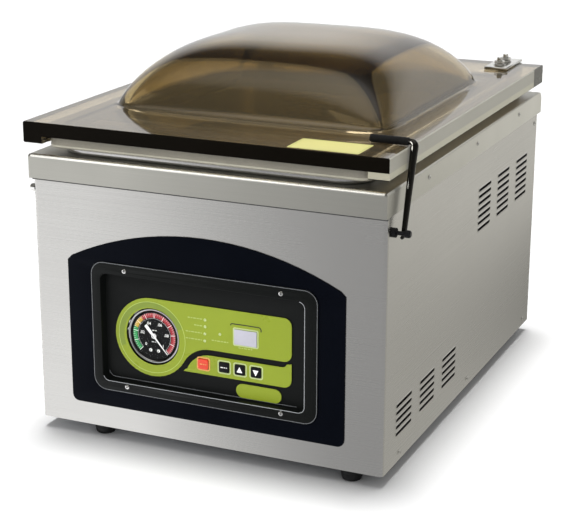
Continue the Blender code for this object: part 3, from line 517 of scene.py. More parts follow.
# ---- lid
LID_X, LID_FRONT, LID_REAR, LID_LOW, LID_HIGH = 191.6, -259.0, 252.5, 304.3, 325.5
DOME_X, DOME_Y, DOME_DEPTH, DOME_HEIGHT, DOME_WALL = 152.0, -10.0, 150.0, 65.0, 8.0
LID_SPLIT = LID_HIGH - 13.9
LID_LOOKS = ["acrylic", "edge_black", "edge_grey", "edge_light", "acrylic_dome", "edge_olive"]
PLATE, BLACK, GREY, EDGE_HIGHLIGHT, DOME, OLIVE = range(6)
FLANGE = (0.0, 0.08, 0.2, 0.4, 0.7, 0.9, 1.0)
SPREAD = 1.75  # packs the grid's lines towards the dome's steep foot
STEPS = 44


def eased(s):
    return copysign(1 - (1 - min(abs(s), 1)) ** SPREAD, s)


def dome_point(s, t, half_x, half_y, base, height):
    """The dome's skin at s, t from -1 to 1, with its footprint's corners a little rounded."""
    u, v = eased(s), eased(t)
    rise = max(0.0, (1 - abs(u) ** 3.6) * (1 - abs(v) ** 3.5)) ** 0.57
    corner = 0.05
    x = half_x * u * (1 - corner * abs(v) ** 14)
    y = half_y * v * (1 - corner * abs(u) ** 14)
    return Vector((x, DOME_Y + y, base + height * rise))


def lid_top_grid():
    """Rows of points over the whole top of the lid: dome in the middle, flat flange round it."""
    inset = 1.0
    params = ([(-1, f) for f in reversed(FLANGE[1:])] + [(-1 + i / STEPS, 0) for i in range(2 * STEPS + 1)]
              + [(1, f) for f in FLANGE[1:]])
    rows = []
    for t, ft in params:
        row = []
        for s, fs in params:
            point = dome_point(s, t, DOME_X, DOME_DEPTH, LID_HIGH, DOME_HEIGHT)
            edge_x = copysign(LID_X - inset, s) if fs else point.x
            edge_y = (LID_REAR - inset if t > 0 else LID_FRONT + inset) if ft else point.y
            if fs or ft:
                point.z = LID_HIGH
                point.x += (edge_x - point.x) * fs
                point.y += (edge_y - point.y) * ft
            row.append(point)
        rows.append(row)
    return rows


def soften_foot(rows, rounds=5):
    """Lets the dome's foot run into the flange with a small fillet."""
    count = len(rows)
    edge = len(FLANGE) - 1
    near = [[(min(i, count - 1 - i) in range(edge - 1, edge + 4)
              or min(j, count - 1 - j) in range(edge - 1, edge + 4))
             and min(i, count - 1 - i, j, count - 1 - j) >= edge - 1 for j in range(count)] for i in range(count)]
    for _ in range(rounds):
        fresh = [row[:] for row in rows]
        for i in range(1, count - 1):
            for j in range(1, count - 1):
                if near[i][j]:
                    around = rows[i - 1][j] + rows[i + 1][j] + rows[i][j - 1] + rows[i][j + 1]
                    fresh[i][j] = rows[i][j] * 0.5 + around * 0.125
        rows = fresh
    return rows


def grid_faces(shape, rows):
    """Adds a sheet through rows of points, and returns the loop of corners round its edge."""
    verts = [[shape.verts.new(p) for p in row] for row in rows]
    for a, b in zip(verts, verts[1:]):
        for i in range(len(a) - 1):
            shape.faces.new((a[i], a[i + 1], b[i + 1], b[i]))
    top, bottom = verts[0], verts[-1]
    left, right = [r[0] for r in verts], [r[-1] for r in verts]
    return top[:-1] + right[:-1] + bottom[:0:-1] + left[:0:-1]


def skirt(shape, loop, move, look=lambda face: PLATE):
    """Carries a loop of corners on to where move puts each, and returns the new loop."""
    fresh = [shape.verts.new(move(v.co)) for v in loop]
    for face in loop_faces(shape, loop, fresh):
        face.material_index = look(face)
    return fresh


def build_lid():
    shape = bmesh.new()
    outer = grid_faces(shape, soften_foot(lid_top_grid()))
    chamfer = 1.0

    def grow(z):
        def move(p):
            x, y = p.x, p.y
            if abs(x) > LID_X - 1.5:
                x = copysign(LID_X, x)
            if y > LID_REAR - 1.5:
                y = LID_REAR
            if y < LID_FRONT + 1.5:
                y = LID_FRONT
            return Vector((x, y, z))
        return move

    def edge_look(light):
        """Black in front and at the rear, with a dark block at the right rear; grey at the sides. On the lower band,
        the sides and the front near its right corner take a lighter copy of the grey: a painted highlight.
        """
        def look(face):
            middle = face.calc_center_median()
            if middle.y < LID_FRONT + 1:
                return EDGE_HIGHLIGHT if light and middle.x > 160 else BLACK
            if middle.y > LID_REAR - 34:
                return OLIVE if middle.x > 0 and middle.y < LID_REAR - 2 else BLACK
            return EDGE_HIGHLIGHT if light else GREY
        return look

    loop = skirt(shape, outer, grow(LID_HIGH - chamfer), edge_look(False))
    loop = skirt(shape, loop, grow(LID_SPLIT), edge_look(False))
    loop = skirt(shape, loop, grow(LID_LOW + chamfer), edge_look(True))

    def shrink(p):
        return Vector((p.x - copysign(chamfer, p.x) * (abs(p.x) > LID_X - 0.1),
                       p.y - chamfer * (p.y > LID_REAR - 0.1) + chamfer * (p.y < LID_FRONT + 0.1), LID_LOW))

    loop = skirt(shape, loop, shrink, lambda face: BLACK)
    inner = [[dome_point(s / STEPS, t / STEPS, DOME_X - DOME_WALL, DOME_DEPTH - DOME_WALL,
                         LID_HIGH - 1, DOME_HEIGHT - DOME_WALL + 1) for s in range(-STEPS, STEPS + 1)]
             for t in range(-STEPS, STEPS + 1)]
    mouth = grid_faces(shape, inner)
    mouth = skirt(shape, mouth, lambda p: Vector((p.x, p.y, LID_LOW)))
    shape.verts.ensure_lookup_table()
    edges = []
    for ring in (loop, mouth):
        for a, b in zip(ring, ring[1:] + ring[:1]):
            edges.append(shape.edges.get((a, b)))
    bmesh.ops.triangle_fill(shape, use_beauty=True, edges=edges)
    for face in shape.faces:
        middle = face.calc_center_median()
        if (face.material_index == PLATE and middle.z > LID_HIGH - 0.5
                and abs(middle.x) < DOME_X - 1 and abs(middle.y - DOME_Y) < DOME_DEPTH - 1):
            face.material_index = DOME
    lid = piece("lid_shell", shape, LID_LOOKS, 35, ["lid"], "lid")

    low, high = node_box("lid_gasket")
    path = rounded(low.x - 0.3, high.x + 0.3, low.y - 0.3, high.y + 0.3, 12, 8)
    inside = rounded(low.x + 12.3, high.x - 12.3, low.y + 12.3, high.y - 12.3, 5, 8)
    cut_away(lid, band(bmesh.new(), path, inside, LID_LOW - 5, LID_SPLIT, "XY"))
    step = rounded(low.x - 0.5, high.x + 0.5, LID_FRONT - 12, -244.0, 4)
    cut_away(lid, prism(bmesh.new(), step, LID_LOW - 5, LID_SPLIT, "XY"))


def cut_away(obj, cutters):
    tool = add_object("cutter", to_mesh("cutter", cutters))
    cut = obj.modifiers.new("cut", "BOOLEAN")
    cut.operation, cut.solver, cut.object = "DIFFERENCE", "EXACT", tool
    obj.data = as_modified(obj)
    obj.modifiers.clear()
    bpy.data.objects.remove(tool)
    smooth(obj.data, 35)


# ---- gasket, label, latch
def build_gasket():
    """A square-shouldered silicone section; its rounded lip underneath is a paler copy of the silicone, a painted
    highlight along its bottom edge.
    """
    low, high = node_box("lid_gasket")
    half, top, foot = 6.0, high.z - 0.1, low.z
    section = [(half - 0.5, top), (half, top - 0.7), (half, foot + 4.4), (half + 0.35, foot + 3.2),
               (half + 0.35, foot + 1.7), (half - 0.5, foot + 0.5), (half - 1.8, foot)]
    section += [(-a, z) for a, z in reversed(section)]
    looks = [0, 0, 0, 1, 1, 1, 0, 1, 1, 1, 0, 0, 0, 0]
    path = rounded(low.x + half, high.x - half, low.y + half, high.y - half, 6.5, 10)
    shape = swept_ring(bmesh.new(), path, section, looks)
    # the right-hand outer faces take a much paler silicone: painted light, so the gap under the lid's right edge
    # reads lit
    for face in shape.faces:
        if face.calc_center_median().x > high.x - 1:
            face.material_index = 2
    piece("gasket_profile", shape, ["silicone_beige", "silicone_lip", "silicone_pale"], 35,
          ["lid_gasket"], "lid")

    low, high = node_box("backing_silicone")
    pad = prism(bmesh.new(), rounded(low.x, high.x, low.y, high.y, 1.5, 4), low.z + 0.25, high.z, "XY", 0.3)
    ribs, pitch, wide = 88, 3.0, 1.2
    for i in range(ribs):
        x = low.x + 3 + i * pitch
        prism(pad, rectangle(x, x + wide, low.y + 1, high.y - 1), low.z, low.z + 0.3, "XY")
    piece("backing_pad", pad, "silicone_beige", 35, ["backing_silicone"], "lid")


def build_label():
    x0, x1, y0, y1, z = 89.0, 160.0, -254.5, -215.5, LID_HIGH
    card = prism(bmesh.new(), rounded(x0, x1, y0, y1, 1.6, 4), z + 0.02, z + 0.14, "XY")
    piece("label_blank", card, "film_yellow", body="lid")
    trim = band(bmesh.new(), rounded(x0 + 1.6, x1 - 1.6, y0 + 1.6, y1 - 1.6, 1.2, 4),
                rounded(x0 + 2.1, x1 - 2.1, y0 + 2.1, y1 - 2.1, 1.0, 4), z + 0.14, z + 0.17, "XY")
    piece("label_border", trim, "film_olive", body="lid")


def build_latch():
    """Rubber sleeve, and bent chrome rod with its hook."""
    low, high = node_box("latch_sleeve")
    start, length = low.x, high.x - low.x
    _, y, z = (low + high) / 2
    profile = [(2.55, 0.4), (3.3, 0.0), (3.75, 0.5), (3.9, 1.4)]
    rings, first, pitch = 9, 3.4, 3.9
    for i in range(rings):
        step = first + i * pitch
        profile += [(3.9, step), (3.72, step + 0.3), (3.72, step + 0.6), (3.9, step + 0.9)]
    profile += [(3.9, length - 1.4), (3.75, length - 0.5), (3.3, length), (2.55, length - 0.4), (2.55, 0.4)]
    piece("latch_grip_sleeve", turned(bmesh.new(), profile, (start, y, z), "X", 40), "rubber_black",
          50, ["latch_sleeve"], "lid")

    start = node_box("latch_arm")[0].x
    arm_x, bend, lean, reach = 196.0, 4.0, radians(16.8), 87.2
    down = Vector((0, -sin(lean), -cos(lean)))
    points = [Vector((x, y, z)) for x in (start, start + 2, arm_x - bend)]
    radii = [1.6, 2.2, 2.9]
    hub = points[-1] + down * bend
    for i in range(1, 11):
        angle = radians(90 * i / 10)
        points.append(hub - down * bend * cos(angle) + Vector((bend * sin(angle), 0, 0)))
        radii.append(2.9 + i * 0.1)
    for i in range(1, 13):
        along = bend + (reach - 2.4 - bend) * i / 12
        points.append(Vector((arm_x, y, z)) + down * along)
        radii.append(3.9 - 1.35 * (i / 12) ** 0.8)
    foot = Vector((arm_x, y, z)) + down * reach
    ahead = Vector((0, -1, 0))
    knee = points[-1]
    for i in range(1, 8):
        t = i / 7
        target = foot + ahead * 4.6 + Vector((0, 0, 0.2))
        points.append(knee.lerp(foot, t).lerp(foot.lerp(target, t), t))
        radii.append(2.55 - 0.95 * t)
    points.append(points[-1] + ahead * 0.4)
    radii.append(1.0)
    piece("latch_rod", tube(bmesh.new(), points, radii), "chrome_rod", 60, ["latch_arm"], "latch")


def build_feet():
    for name in [n for n in NODES if n.startswith("foot_")]:
        middle = middle_of(name)
        middle.z = 0
        profile = [(0, 11.6), (11.1, 11.6), (11.5, 11.2), (11.4, 10.4), (10.9, 7.6), (10.6, 7.3), (10.6, 6.8),
                   (10.8, 6.5), (10.0, 2.2), (9.6, 0.9), (8.9, 0.2), (8.2, 0), (5.6, 0), (5.2, 0.4),
                   (4.9, 2.8), (0, 2.8)]
        piece(name + "_bumper", turned(bmesh.new(), profile, middle, "Z", 48), "rubber_black",
              40, [name])
        screw = turned(bmesh.new(), [(0, 2.9), (3.4, 2.9), (3.6, 2.3), (2.6, 1.5), (0, 1.2)], middle, "Z", 24)
        piece(name + "_screw", screw, "steel_polished")


# ---- screws
def screws(name, spots, axis, sign, radius, look="steel_polished", tall=0.45):
    """Pan-head screws in one piece; each cross recess is two black bars standing just proud of the head: painted
    shade where a recess would be.
    """
    shape = bmesh.new()
    side, up, out = AXES[axis]
    rise = radius * tall
    for spot in spots:
        spot = Vector(spot)
        profile = [(0, 0), (radius, 0), (radius, rise * 0.35), (radius * 0.86, rise * 0.75),
                   (radius * 0.55, rise * 0.97), (0, rise)]
        turned(shape, profile, spot, axis, 24, sign)
        marked = len(shape.faces)
        for a, b in ((side, up), (up, side)):
            half_long, half_wide = radius * 0.52, radius * 0.12
            corners = [spot + out * sign * h + a * half_long * p + b * half_wide * q
                       for h in (rise * 0.6, rise + 0.04) for p, q in ((-1, -1), (1, -1), (1, 1), (-1, 1))]
            v = [shape.verts.new(c) for c in corners]
            for quad in ((0, 1, 2, 3), (4, 5, 6, 7), (0, 1, 5, 4), (1, 2, 6, 5), (2, 3, 7, 6), (3, 0, 4, 7)):
                shape.faces.new([v[k] for k in quad])
        shape.faces.ensure_lookup_table()
        for face in shape.faces[marked:]:
            face.material_index = 1
    piece(name, shape, [look, "ink_black"], 50)


def build_fasteners():
    low, high = node_box("deck")
    wall_low, wall_high = node_box("casing_wrap")
    cover_low, cover_high = node_box("rear_cover")
    for side, x, sign in (("left", low.x, -1), ("right", high.x, 1)):
        screws(f"deck_screws_{side}", [(x, -141.5, 281.5), (x, 13.0, 281.8), (x, 168.0, 282.8)], "X", sign, 2.3)
    for side, x, sign in (("left", wall_low.x, -1), ("right", wall_high.x, 1)):
        screws(f"casing_screws_{side}", [(x, y, 20.0) for y in (-205, 10, 228)] + [(x, 241.0, 258.0)], "X", sign, 2.6)
    spots = [(x, cover_high.y, z) for x in (-176, -60, 60, 176) for z in (24, 257)]
    spots += [(s * 176, cover_high.y, 140) for s in (-1, 1)]
    screws("rear_cover_screws", spots, "Y", 1, 3.0)


def build_hinge_nuts():
    """Hexagon nuts on washers, with the screw ends standing out of them."""
    leaf_top = node_box("hinge_leaf_right")[1].z
    for side in ("left", "right"):
        shape = bmesh.new()
        for end in ("front", "rear"):
            x, y, _ = middle_of(f"hinge_screw_{side}_{end}")
            turned(shape, [(0, 0.02), (6.9, 0.02), (6.9, 0.9), (6.5, 1.2), (0, 1.2)], (x, y, leaf_top), "Z", 36)
            prism(shape, arc((x, y), 5.9, 20, 320, 5), leaf_top + 1.2, leaf_top + 5.6, "XY", 0.5)
            turned(shape, [(0, 5.6), (3.1, 5.6), (3.1, 8.2), (2.5, 8.9), (0, 9.0)], (x, y, leaf_top), "Z", 24)
        piece(f"hinge_nuts_{side}", shape, "steel_polished", body="lid")


def build_deck_roll():
    """The deck's rolled front edge, in steel much brighter than the deck's: a painted highlight along it."""
    low, high = node_box("deck")
    radius, proud = 3.0, 0.12
    rows = []
    for x in (low.x + 2.6, low.x + 4.0, 0.0, high.x - 4.0, high.x - 2.6):
        row = []
        for i in range(11):
            angle = radians(-4 + 98 * i / 10)
            fade = proud * (1 if 0 < i < 10 else 0) * (abs(x) < high.x - 3)
            y = low.y + radius - (radius + fade) * cos(angle)
            z = high.z - radius + (radius + fade) * sin(angle)
            row.append((x, y, z))
        rows.append(row)
    shape = bmesh.new()
    grid_faces(shape, rows)
    piece("deck_front_roll", shape, "steel_edge", 60)


def build_seam():
    """A thin dark strip at the joint under the deck's lip, across the front: the painted shadow of the lip."""
    lip_low, _ = node_box("deck")
    wall_low, wall_high = node_box("casing_wrap")
    out, top = 0.55, lip_low.z - 0.1
    outline = rectangle(wall_low.x - out, wall_high.x + out, wall_low.y - out, wall_low.y + 0.2)
    piece("deck_seam_shadow", prism(bmesh.new(), outline, top - 2.5, top, "XY"), "seam_grey")


# ---- louvres
SLOT_REACH, SLOT_HALF = 22.0, 1.6  # a slot's half length and half height
VENT_ROWS = [(middle, top - row * 7.3) for columns, rows, top in (((50.0, 119.5, 191.5), 7, 227.0),
                                                                  ((-194.5, -125.8, -57.0), 5, 71.3))
             for middle in columns for row in range(rows)]


def build_louvre_edges():
    """The slots' pressed edges, standing a little proud of the sheet."""
    low, high = node_box("casing_wrap")
    for side, x, sign in (("left", low.x, -1), ("right", high.x, 1)):
        shape = bmesh.new()
        for middle, z in VENT_ROWS:
            rings = []
            for grow, rise in ((0.0, -1.2), (0.02, 0.28), (0.3, 0.42), (0.75, 0.3), (1.25, -0.02)):
                end = SLOT_HALF + grow
                reach = SLOT_REACH - SLOT_HALF
                loop = arc((middle + reach, z), end, -90, 90, 8) + arc((middle - reach, z), end, 90, 270, 8)
                rings.append([shape.verts.new((x + sign * rise, a, b)) for a, b in loop])
            for inner, outer in zip(rings, rings[1:]):
                loop_faces(shape, inner, outer)
        piece(f"louvre_edges_{side}", shape, "steel_sides", 60)


# ---- control panel
def stroke(shape, points, width, low, high, closed=False):
    """A flat line of even width drawn in XZ."""
    count = len(points)
    left, right = [], []
    for i, p in enumerate(points):
        before = points[i - 1] if closed or i else p
        after = points[(i + 1) % count] if closed or i < count - 1 else p
        ahead = (Vector(after) - Vector(before)).normalized()
        out = Vector((ahead.y, -ahead.x)) * width / 2
        left.append((p[0] + out.x, p[1] + out.y))
        right.append((p[0] - out.x, p[1] - out.y))
    if closed:
        return band(shape, left, right, low, high)
    return prism(shape, left + right[::-1], low, high)


def dash_row(shape, x0, x1, z, tall, low, high):
    """A row of short strokes that stands for a caption without spelling anything."""
    x, k = x0, 0
    while x < x1 - 0.5:
        wide = (2.6, 1.5, 3.4, 2.1)[k % 4]
        end = min(x + wide, x1)
        prism(shape, rectangle(x, end, z - tall / 2, z + tall / 2), low, high)
        x, k = end + 0.9, k + 1


BEZEL_FACE = node_box("panel_bezel")[0].y
PRINT_FACE = node_box("overlay_panel")[0].y
FRONT, BACK = PRINT_FACE - 0.12, PRINT_FACE + 0.02  # of the ink on the green film
DIAL_FORWARD, NEEDLE_FORWARD = 4.1, 3.7  # how much nearer to the glass than their CAD nodes
DIAL = node_box("gauge_dial")[0].y - DIAL_FORWARD
DIAL_INK = DIAL + 0.02
GAUGE_X, _, GAUGE_Z = middle_of("gauge_ring")
SCALE_START, SCALE_END = 224, 497  # degrees, clockwise from the top


def build_bezel():
    low, high = node_box("panel_bezel")
    middle = (low + high) / 2
    inset = 0.8
    right, left, foot, top, corner = 107.9, -112.9, 64.6, 177.4, 6.8
    rim = rounded(low.x + inset, high.x - inset, low.z + inset, high.z - inset, 13.4, 12)
    mouth = (arc((left + corner, foot + corner), corner, 200, 270, 8)
             + arc((right - corner, foot + corner), corner, 270, 360, 8)
             + arc((right - corner, top - corner), corner, 0, 80, 8))
    sill = arc((left + corner + 1, foot + corner + 1), corner, 190, 270, 8) + [(right - corner - 6, foot + 1.0)]
    # Thin light strokes painted on as highlights: round the bezel's outer edge, along the recess mouth at its bottom
    # and right, and along the recess floor at bottom left.
    for name, line, width, front, back, look in (
            ("bezel_highlight_line", rim, 0.6, BEZEL_FACE - 0.12, BEZEL_FACE + 0.05, "line_dim"),
            ("recess_highlight_line", mouth, 0.6, BEZEL_FACE - 0.06, BEZEL_FACE + 0.05, "line_light"),
            ("recess_floor_highlight_line", sill, 0.5, PRINT_FACE + 0.3, PRINT_FACE + 0.95, "line_dim")):
        piece(name, stroke(bmesh.new(), line, width, front, back, line is rim), look)
    screws("bezel_screws", [(middle.x + a * 84.5, BEZEL_FACE, middle.z + b * 61) for a in (-1, 1) for b in (-1, 1)],
           "Y", -1, 2.5)


def clock_arc(radius, start, end, steps, middle=(GAUGE_X, GAUGE_Z)):
    """Points on a circle between two angles, clockwise from the top."""
    return [(middle[0] + radius * sin(radians(a)), middle[1] + radius * cos(radians(a)))
            for a in (start + (end - start) * i / steps for i in range(steps + 1))]


def clock_band(shape, outer, inner, start, end, steps, low, high, middle=(GAUGE_X, GAUGE_Z)):
    return prism(shape, clock_arc(outer, start, end, steps, middle) + clock_arc(inner, end, start, steps, middle),
                 low, high)


def build_gauge():
    low, high = node_box("overlay_panel")
    lobe = (low.x + 41.0, high.z - 41.0)
    piece("gauge_surround_shade", clock_band(bmesh.new(), 37.0, 31.4, 249, 428, 60, FRONT, BACK, lobe),
          "film_olive")
    shape = bmesh.new()
    for start, end in ((249, 428), (428, 609)):
        clock_band(shape, 37.4, 36.9, start, end, 50, FRONT - 0.05, BACK, lobe)
    piece("gauge_surround_line", shape, "film_line")

    plate = node_box("gauge_dial")[1].y
    shape = turned(bmesh.new(), [(0, 0), (24.4, 0), (24.4, plate - DIAL), (0, plate - DIAL)],
                   (GAUGE_X, plate, GAUGE_Z), "Y", 72, -1)
    piece("dial_face", shape, "dial_black", 40, ["gauge_dial"])
    rim = [(29.4, 0.6), (29.35, 1.5), (28.9, 2.2), (28.2, 2.6), (27.4, 2.65), (26.8, 2.3), (26.5, 1.6),
           (24.7, 0.9), (24.7, 0.1), (29.2, 0.1), (29.4, 0.6)]
    shape = turned(bmesh.new(), rim, (GAUGE_X, node_box("gauge_ring")[1].y, GAUGE_Z), "Y", 96, -1)
    # the rim's inner slope and wall are painted black: the shade inside the rim
    for face in shape.faces:
        middle = face.calc_center_median()
        if hypot(middle.x - GAUGE_X, middle.z - GAUGE_Z) < 26.4:
            face.material_index = 1
    piece("gauge_rim", shape, ["gauge_steel", "dial_black"], 50, ["gauge_ring"])
    for colour, start, end in (("green", SCALE_START, 289), ("gold", 289, 321), ("red", 321, SCALE_END)):
        steps = max(8, int((end - start) / 3))
        piece(f"dial_band_{colour}", clock_band(bmesh.new(), 23.6, 19.2, start, end, steps, DIAL - 0.1, DIAL_INK),
              f"ink_{colour}")

    shape = bmesh.new()
    for i in range(51):
        inner, half = (18.6, 0.28) if i % 5 == 0 else (21.6, 0.12)
        turn = radians(SCALE_START + (SCALE_END - SCALE_START) * i / 50)
        along, across = Vector((sin(turn), cos(turn))), Vector((cos(turn), -sin(turn)))
        corners = [along * r + across * s * half for r, s in ((inner, -1), (23.8, -1), (23.8, 1), (inner, 1))]
        prism(shape, [(GAUGE_X + c.x, GAUGE_Z + c.y) for c in corners], DIAL - 0.16, DIAL_INK)
    stroke(shape, clock_arc(18.2, SCALE_START, SCALE_END, 60), 0.12, DIAL - 0.16, DIAL_INK)
    piece("dial_ticks", shape, "ink_white")
    numerals = []
    for i, text in enumerate(("0", ".02", ".04", ".06", ".08", ".1")):
        turn = radians(SCALE_START + 54.6 * i)
        numerals.append((text, GAUGE_X + 13.7 * sin(turn), GAUGE_Z + 13.7 * cos(turn), 4.3))
    printed("dial_numerals", numerals, DIAL - 0.02, 0.14)
    shape = bmesh.new()
    for x0, x1, z, tall in ((-2.4, 3.2, 5.6, 0.8), (-3.0, 3.4, -6.6, 0.6)):
        dash_row(shape, GAUGE_X + x0, GAUGE_X + x1, GAUGE_Z + z, tall, DIAL - 0.14, DIAL_INK)
    piece("dial_captions", shape, "ink_white")
    screws("dial_screws", [(GAUGE_X + 4.4 * s, DIAL, GAUGE_Z - 15.6) for s in (-1, 1)], "Y", -1, 1.7,
           "ink_white", 0.35)


def halo(node, outer, outer_radius, inner, inner_radius):
    """A pale printed frame round a CAD node."""
    low, high = node_box(node)
    return band(bmesh.new(), *(rounded(low.x - by, high.x + by, low.z - by, high.z + by, radius)
                               for by, radius in ((outer, outer_radius), (inner, inner_radius))), FRONT, BACK)


def build_prints():
    """Lamps, captions and frames on the green film, and the marks on the buttons."""
    lamps = [(-2.5, 141.0, -21.5), (-2.5, 134.0, -14.5), (-2.8, 126.5, -24.0), (-3.0, 119.2, -24.0),
             (13.7, 128.6, None)]  # x, z, and where the caption beside it starts
    shape = bmesh.new()
    for x, z, _ in lamps:
        turned(shape, [(1.5, 0), (1.45, 0.25), (1.1, 0.6), (0.6, 0.8), (0, 0.86)], (x, PRINT_FACE, z), "Y", 20, -1)
    piece("indicator_lamps", shape, "film_halo")
    captions = [(start, x - 3.4, z + 0.4, 1.0) for x, z, start in lamps if start is not None]
    shape = bmesh.new()
    for caption in captions + [(4.5, 22.5, 121.2, 1.0), (33.5, 48.5, 117.6, 0.9)]:
        dash_row(shape, *caption, FRONT, BACK)
    piece("panel_captions", shape, "film_print")
    line = (arc((27.0, 139.8), 1.7, 190, 90, 5) + [(40, 141.6)] + arc((55.0, 138.6), 2.9, 90, 0, 6)
            + [(57.9, 137.0)])
    piece("display_bracket", stroke(bmesh.new(), line, 1.0, FRONT, BACK), "ink_black")
    piece("display_halo", halo("display_window", 1.7, 2.0, 0.4, 0.6), "film_halo")

    arrow = [(-3.1, -2.5), (3.1, -2.5), (0, 3.4)]
    arrows = {"button_up": arrow, "button_down": [(x, -z) for x, z in (arrow[0], arrow[2], arrow[1])]}
    for name in ("button_stop", "button_set", "button_up", "button_down"):
        stop = name == "button_stop"
        piece(name + "_halo", halo(name, 1.9, 2.6, 0.5, 1.0), "film_orange" if stop else "film_halo")
        x, _, z = middle_of(name)
        low, high = node_box(name)[0].y - 0.08, node_box(name)[0].y + 0.05
        shape = bmesh.new()
        if name in arrows:
            prism(shape, [(x + a, z + b) for a, b in arrows[name]], low, high)
        else:
            dash_row(shape, x - 3.4, x + 3.6, z, 0.9, low, high)
        piece(name + "_mark", shape, "film_orange" if stop else "ink_white", body=name)


def build_needle():
    """A needle with a thick tail, long thin tip and a hub with a dark centre, and the dished glass over it."""
    x, z = GAUGE_X, GAUGE_Z
    front, back = (corner.y - NEEDLE_FORWARD for corner in node_box("gauge_needle"))
    lean = radians(139.5)
    half = [(1.75, -13.2), (1.55, -4), (0.75, -2.5), (0.75, 4), (0.3, 23.6)]
    hand = [(-1.75, -13.2), (-1.1, -13.9), (1.1, -13.9)] + half + [(-a, b) for a, b in half[:0:-1]]
    outline = [(x + across * cos(lean) + along * sin(lean),
                z - across * sin(lean) + along * cos(lean)) for across, along in hand]
    shape = prism(bmesh.new(), outline, front + 0.75, front + 1.2, "XZ", 0.08)
    hub = [(0, 0), (2.5, 0), (2.5, 1.5), (2.2, 1.75), (1.5, 1.75), (1.3, 1.2), (0, 1.2)]
    turned(shape, hub, (x, back, z), "Y", 32, -1)
    for face in shape.faces:
        if all(hypot(v.co.x - x, v.co.z - z) < 1.55 and v.co.y < back - 1 for v in face.verts):
            face.material_index = 1
    piece("needle_hand", shape, ["needle_white", "ink_black"], 40, ["gauge_needle"], "needle")
    cup = [(0, 1.75), (21, 1.75), (23.6, 1.5), (24.4, 0.9), (24.4, 0), (24, 0), (24, 0.8), (23.4, 1.15),
           (21, 1.4), (0, 1.4)]
    piece("gauge_crystal", turned(bmesh.new(), cup, (x, back - 0.6, z), "Y", 64, -1), "glass",
          40, ["gauge_lens"])


def printed(name, words, low, thick):
    """Numerals as raised ink; words is a list of (text, x, z, height)."""
    shape = bmesh.new()
    for text, x, z, tall in words:
        curve = bpy.data.curves.new("numeral", "FONT")
        curve.body, curve.size, curve.align_x, curve.align_y = text, tall, "CENTER", "CENTER"
        curve.extrude, curve.resolution_u, curve.offset = thick / 2, 3, 0.05
        holder = add_object("numeral", curve)
        mesh = as_modified(holder)
        mesh.transform(Matrix.Translation((x, low, z)) @ Matrix.Rotation(radians(90), 4, "X"))
        shape.from_mesh(mesh)
        bpy.data.objects.remove(holder)
        bpy.data.meshes.remove(mesh)
    bmesh.ops.remove_doubles(shape, verts=shape.verts[:], dist=0.002)
    return piece(name, shape, "ink_white")


# ---- back
def build_back():
    sheet = node_box("rear_cover")[1].y
    field = rounded(-148.6, -71.4, 51.4, 90.6, 2.4)
    shape = band(bmesh.new(), rounded(-150, -70, 50, 92, 3), field, sheet, sheet + 0.5)
    piece("rating_plate_blank", prism(shape, field, sheet, sheet + 0.3), "aluminium")
    screws("rating_plate_rivets", [(x, sheet + 0.3, z) for x in (-145.5, -74.5) for z in (54.5, 87.5)], "Y", 1, 1.4)
    mouth = node_box("power_inlet")[1].y
    middle = middle_of("power_inlet")
    shape = bmesh.new()
    for x, z in ((middle.x - 7, middle.z - 1.6), (middle.x, middle.z + 2.4), (middle.x + 7, middle.z - 1.6)):
        prism(shape, rectangle(x - 1, x + 1, z - 2, z + 2), mouth - 17.5, mouth - 3.5, "XZ", 0.3)
    piece("inlet_pins", shape, "steel_polished")
    low, high = node_box("switch_rocker")
    x0, x1, z = low.x + 3.6, high.x - 3.6, (low.z + high.z) / 2
    shape = band(bmesh.new(), arc((x0, z), 2.3, 0, 348, 29), arc((x0, z), 1.8, 0, 348, 29), 248.55, 248.95)
    prism(shape, rectangle(x1 - 0.3, x1 + 0.3, z - 2.4, z + 2.4), 250.1, 250.75)
    piece("rocker_marks", shape, "ink_white", body="rocker")


